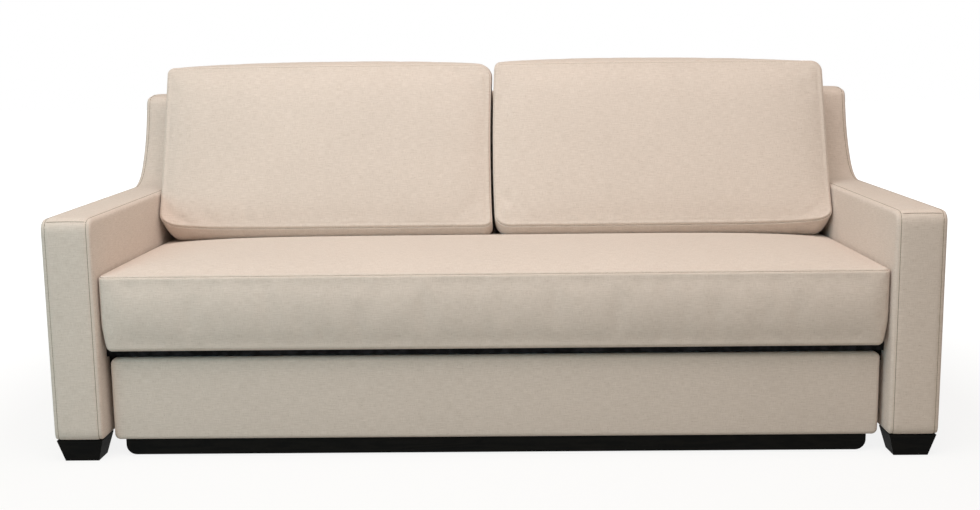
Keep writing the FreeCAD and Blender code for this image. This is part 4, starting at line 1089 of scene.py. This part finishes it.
# Mattress of the bed: quilted ticking between two taped edges
mattress = {
    "crown": 0.006, "crownPowers": (8, 4), "smallestCorner": 0.040, "edge": 0.015, "groove": 0.002,
    "grooveReach": 0.005, "pitch": 0.02, "boxing": 0.104, "quilt": 0.120, "quiltDepth": 0.004,
    "quiltPower": 0.5, "quiltEdge": (0.01, 0.05), "quiltFade": 6, "tape": 0.0026, "outlinePitch": 0.013,
}


def buildMattress(look):
    low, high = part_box("mattress_cover")
    width, depth = high.x - low.x - 0.001, high.y - low.y - 0.002
    middleX, middleY = (low.x + high.x) / 2, (low.y + high.y) / 2
    sides = roundedRectangle(width, depth, [look["smallestCorner"]] * 4, look["outlinePitch"])

    def place(across, up, level, inset):
        down = level / look["boxing"]
        crownAcross, crownUp = look["crownPowers"]
        crown = look["crown"] * plump(across / width + 0.5, crownAcross) * plump(up / depth + 0.5, crownUp)
        crown *= (1 - down) ** 2
        first, second = (abs(math.sin(slant * math.pi / look["quilt"])) ** look["quiltPower"]
                         for slant in (across + up, across - up))
        dip = look["quiltDepth"] * (first * second - 1) * eased(inset, *look["quiltEdge"])
        dip *= (1 - down) ** look["quiltFade"]
        return middleX + across, middleY + up, low.z + look["boxing"] - level + crown + dip

    piece, seams = sewnForm("mattress_upholstery", sides, look["boxing"], place, look)
    finishPiece(piece, "bed", "ticking", ["mattress_cover", "mattress_foam"])
    lines = [lineOn(piece, seams[side]) for side in ("near", "far")]
    tape = {**seamLook, "thread": look["tape"]}
    sewSeams("mattress_tape", "bed", lines, [], tape, finishes["zip_tape"], "zip_tape")


buildMattress(mattress)
print("mattress built")


# Black cloth stretched over the seat deck's slats
deckCloth = {"pitch": 0.03, "sag": 0.0008, "sagPowers": (10, 6), "waves": 0.23}


def buildDeckCloth(look):
    low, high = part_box("deck_cloth")
    width, depth = high.x - low.x, high.y - low.y
    columns, rows = int(width / look["pitch"]), int(depth / look["pitch"])
    sagAcross, sagAlong = look["sagPowers"]
    form = bmesh.new()
    grid = []
    for c in range(columns + 1):
        u = c / columns
        column = []
        for r in range(rows + 1):
            v = r / rows
            wave = 0.5 + 0.5 * math.cos(2 * math.pi * c * look["waves"])
            sag = look["sag"] * plump(u, sagAcross) * plump(v, sagAlong) * wave
            column.append(form.verts.new((low.x + width * u, low.y + depth * v, high.z - sag)))
        grid.append(column)
    for first, second in zip(grid, grid[1:]):
        for r in range(rows):
            form.faces.new((first[r], second[r], second[r + 1], first[r + 1]))
    piece = meshPiece("deck_cloth_sheet", form)
    finishPiece(piece, "sofa", "black_cloth", ["deck_cloth"])


buildDeckCloth(deckCloth)
print("deck cloth built")


# Stage: white floor and backdrop that keep the sofa's shadow, and soft lamps
stageLook = {
    "size": 30, "roughness": 0.9, "gloss": 0.1,
    "floor": rgb(180, 178, 174), "cameraWhite": 1.16, "whiteShare": 0.74, "whiteNear": 1.3, "whiteFar": 2.6,
    "world": (0.92, 0.80, 0.62, 1.0), "worldStrength": 0.34,
}

lamps = [
    {"name": "overheadLamp", "place": (-0.2, -1.6, 3.5), "aim": (0.0, -0.1, 0.5), "size": 3.0, "power": 107.5,
     "colour": (1.0, 0.923, 0.885)},
    {"name": "leftLamp", "place": (-2.5, -3.1, 1.5), "aim": (-0.2, 0.0, 0.4), "size": 1.8, "power": 29,
     "colour": (0.42, 0.87, 1.0)},
]


def seenDirectly(wires):
    path = wires.add("LightPath")
    straight = wires.math("MAXIMUM", path.outputs["Is Camera Ray"], path.outputs["Is Glossy Ray"])
    return wires.math("MAXIMUM", straight, path.outputs["Is Transmission Ray"])


def buildStage(look):
    data = bpy.data.meshes.new("floor")
    size = look["size"]
    data.from_pydata([(-size, -size, 0), (size, -size, 0), (size, size, 0), (-size, size, 0)], [], [(0, 1, 2, 3)])
    floor = newObject("floor", data)
    material, wires, shader = newMaterial("paleFloor", look, **{"Base Color": look["floor"]})
    glow = wires.add("Emission", {"Strength": look["cameraWhite"]})
    # only what the camera sees turns white, all of it away from the sofa, so its shadow stays
    away = wires.add("VectorMath", {0: wires.spot()}, operation="LENGTH").outputs["Value"]
    white = wires.ramp(away, look["whiteNear"], look["whiteFar"], look["whiteShare"], 1.0)
    wires.mixShaders(wires.times(seenDirectly(wires), white), shader.outputs[0], glow.outputs[0],
                     material.node_tree.nodes["Material Output"].inputs["Surface"])
    data.materials.append(material)

    world = bpy.data.worlds.new("studio")
    scene.world = world
    world.use_nodes = True
    wires = Wiring(world.node_tree)
    lit = world.node_tree.nodes["Background"]
    lit.inputs["Color"].default_value = look["world"]
    lit.inputs["Strength"].default_value = look["worldStrength"]
    shown = wires.add("Background", {"Color": (1, 1, 1, 1), "Strength": 1.0})
    wires.mixShaders(seenDirectly(wires), lit.outputs[0], shown.outputs[0],
                     world.node_tree.nodes["World Output"].inputs["Surface"])


def buildLamp(look):
    data = bpy.data.lights.new(look["name"], "AREA")
    data.shape = "SQUARE"
    data.size = look["size"]
    data.energy = look["power"]
    data.color = look["colour"]
    lamp = newObject(look["name"], data)
    lamp.location = look["place"]
    aim = Vector(look["aim"]) - Vector(look["place"])
    lamp.rotation_euler = aim.to_track_quat("-Z", "Y").to_euler()


buildStage(stageLook)
for look in lamps:
    buildLamp(look)
scene.view_settings.view_transform = "Standard"
print("stage and lamps set")
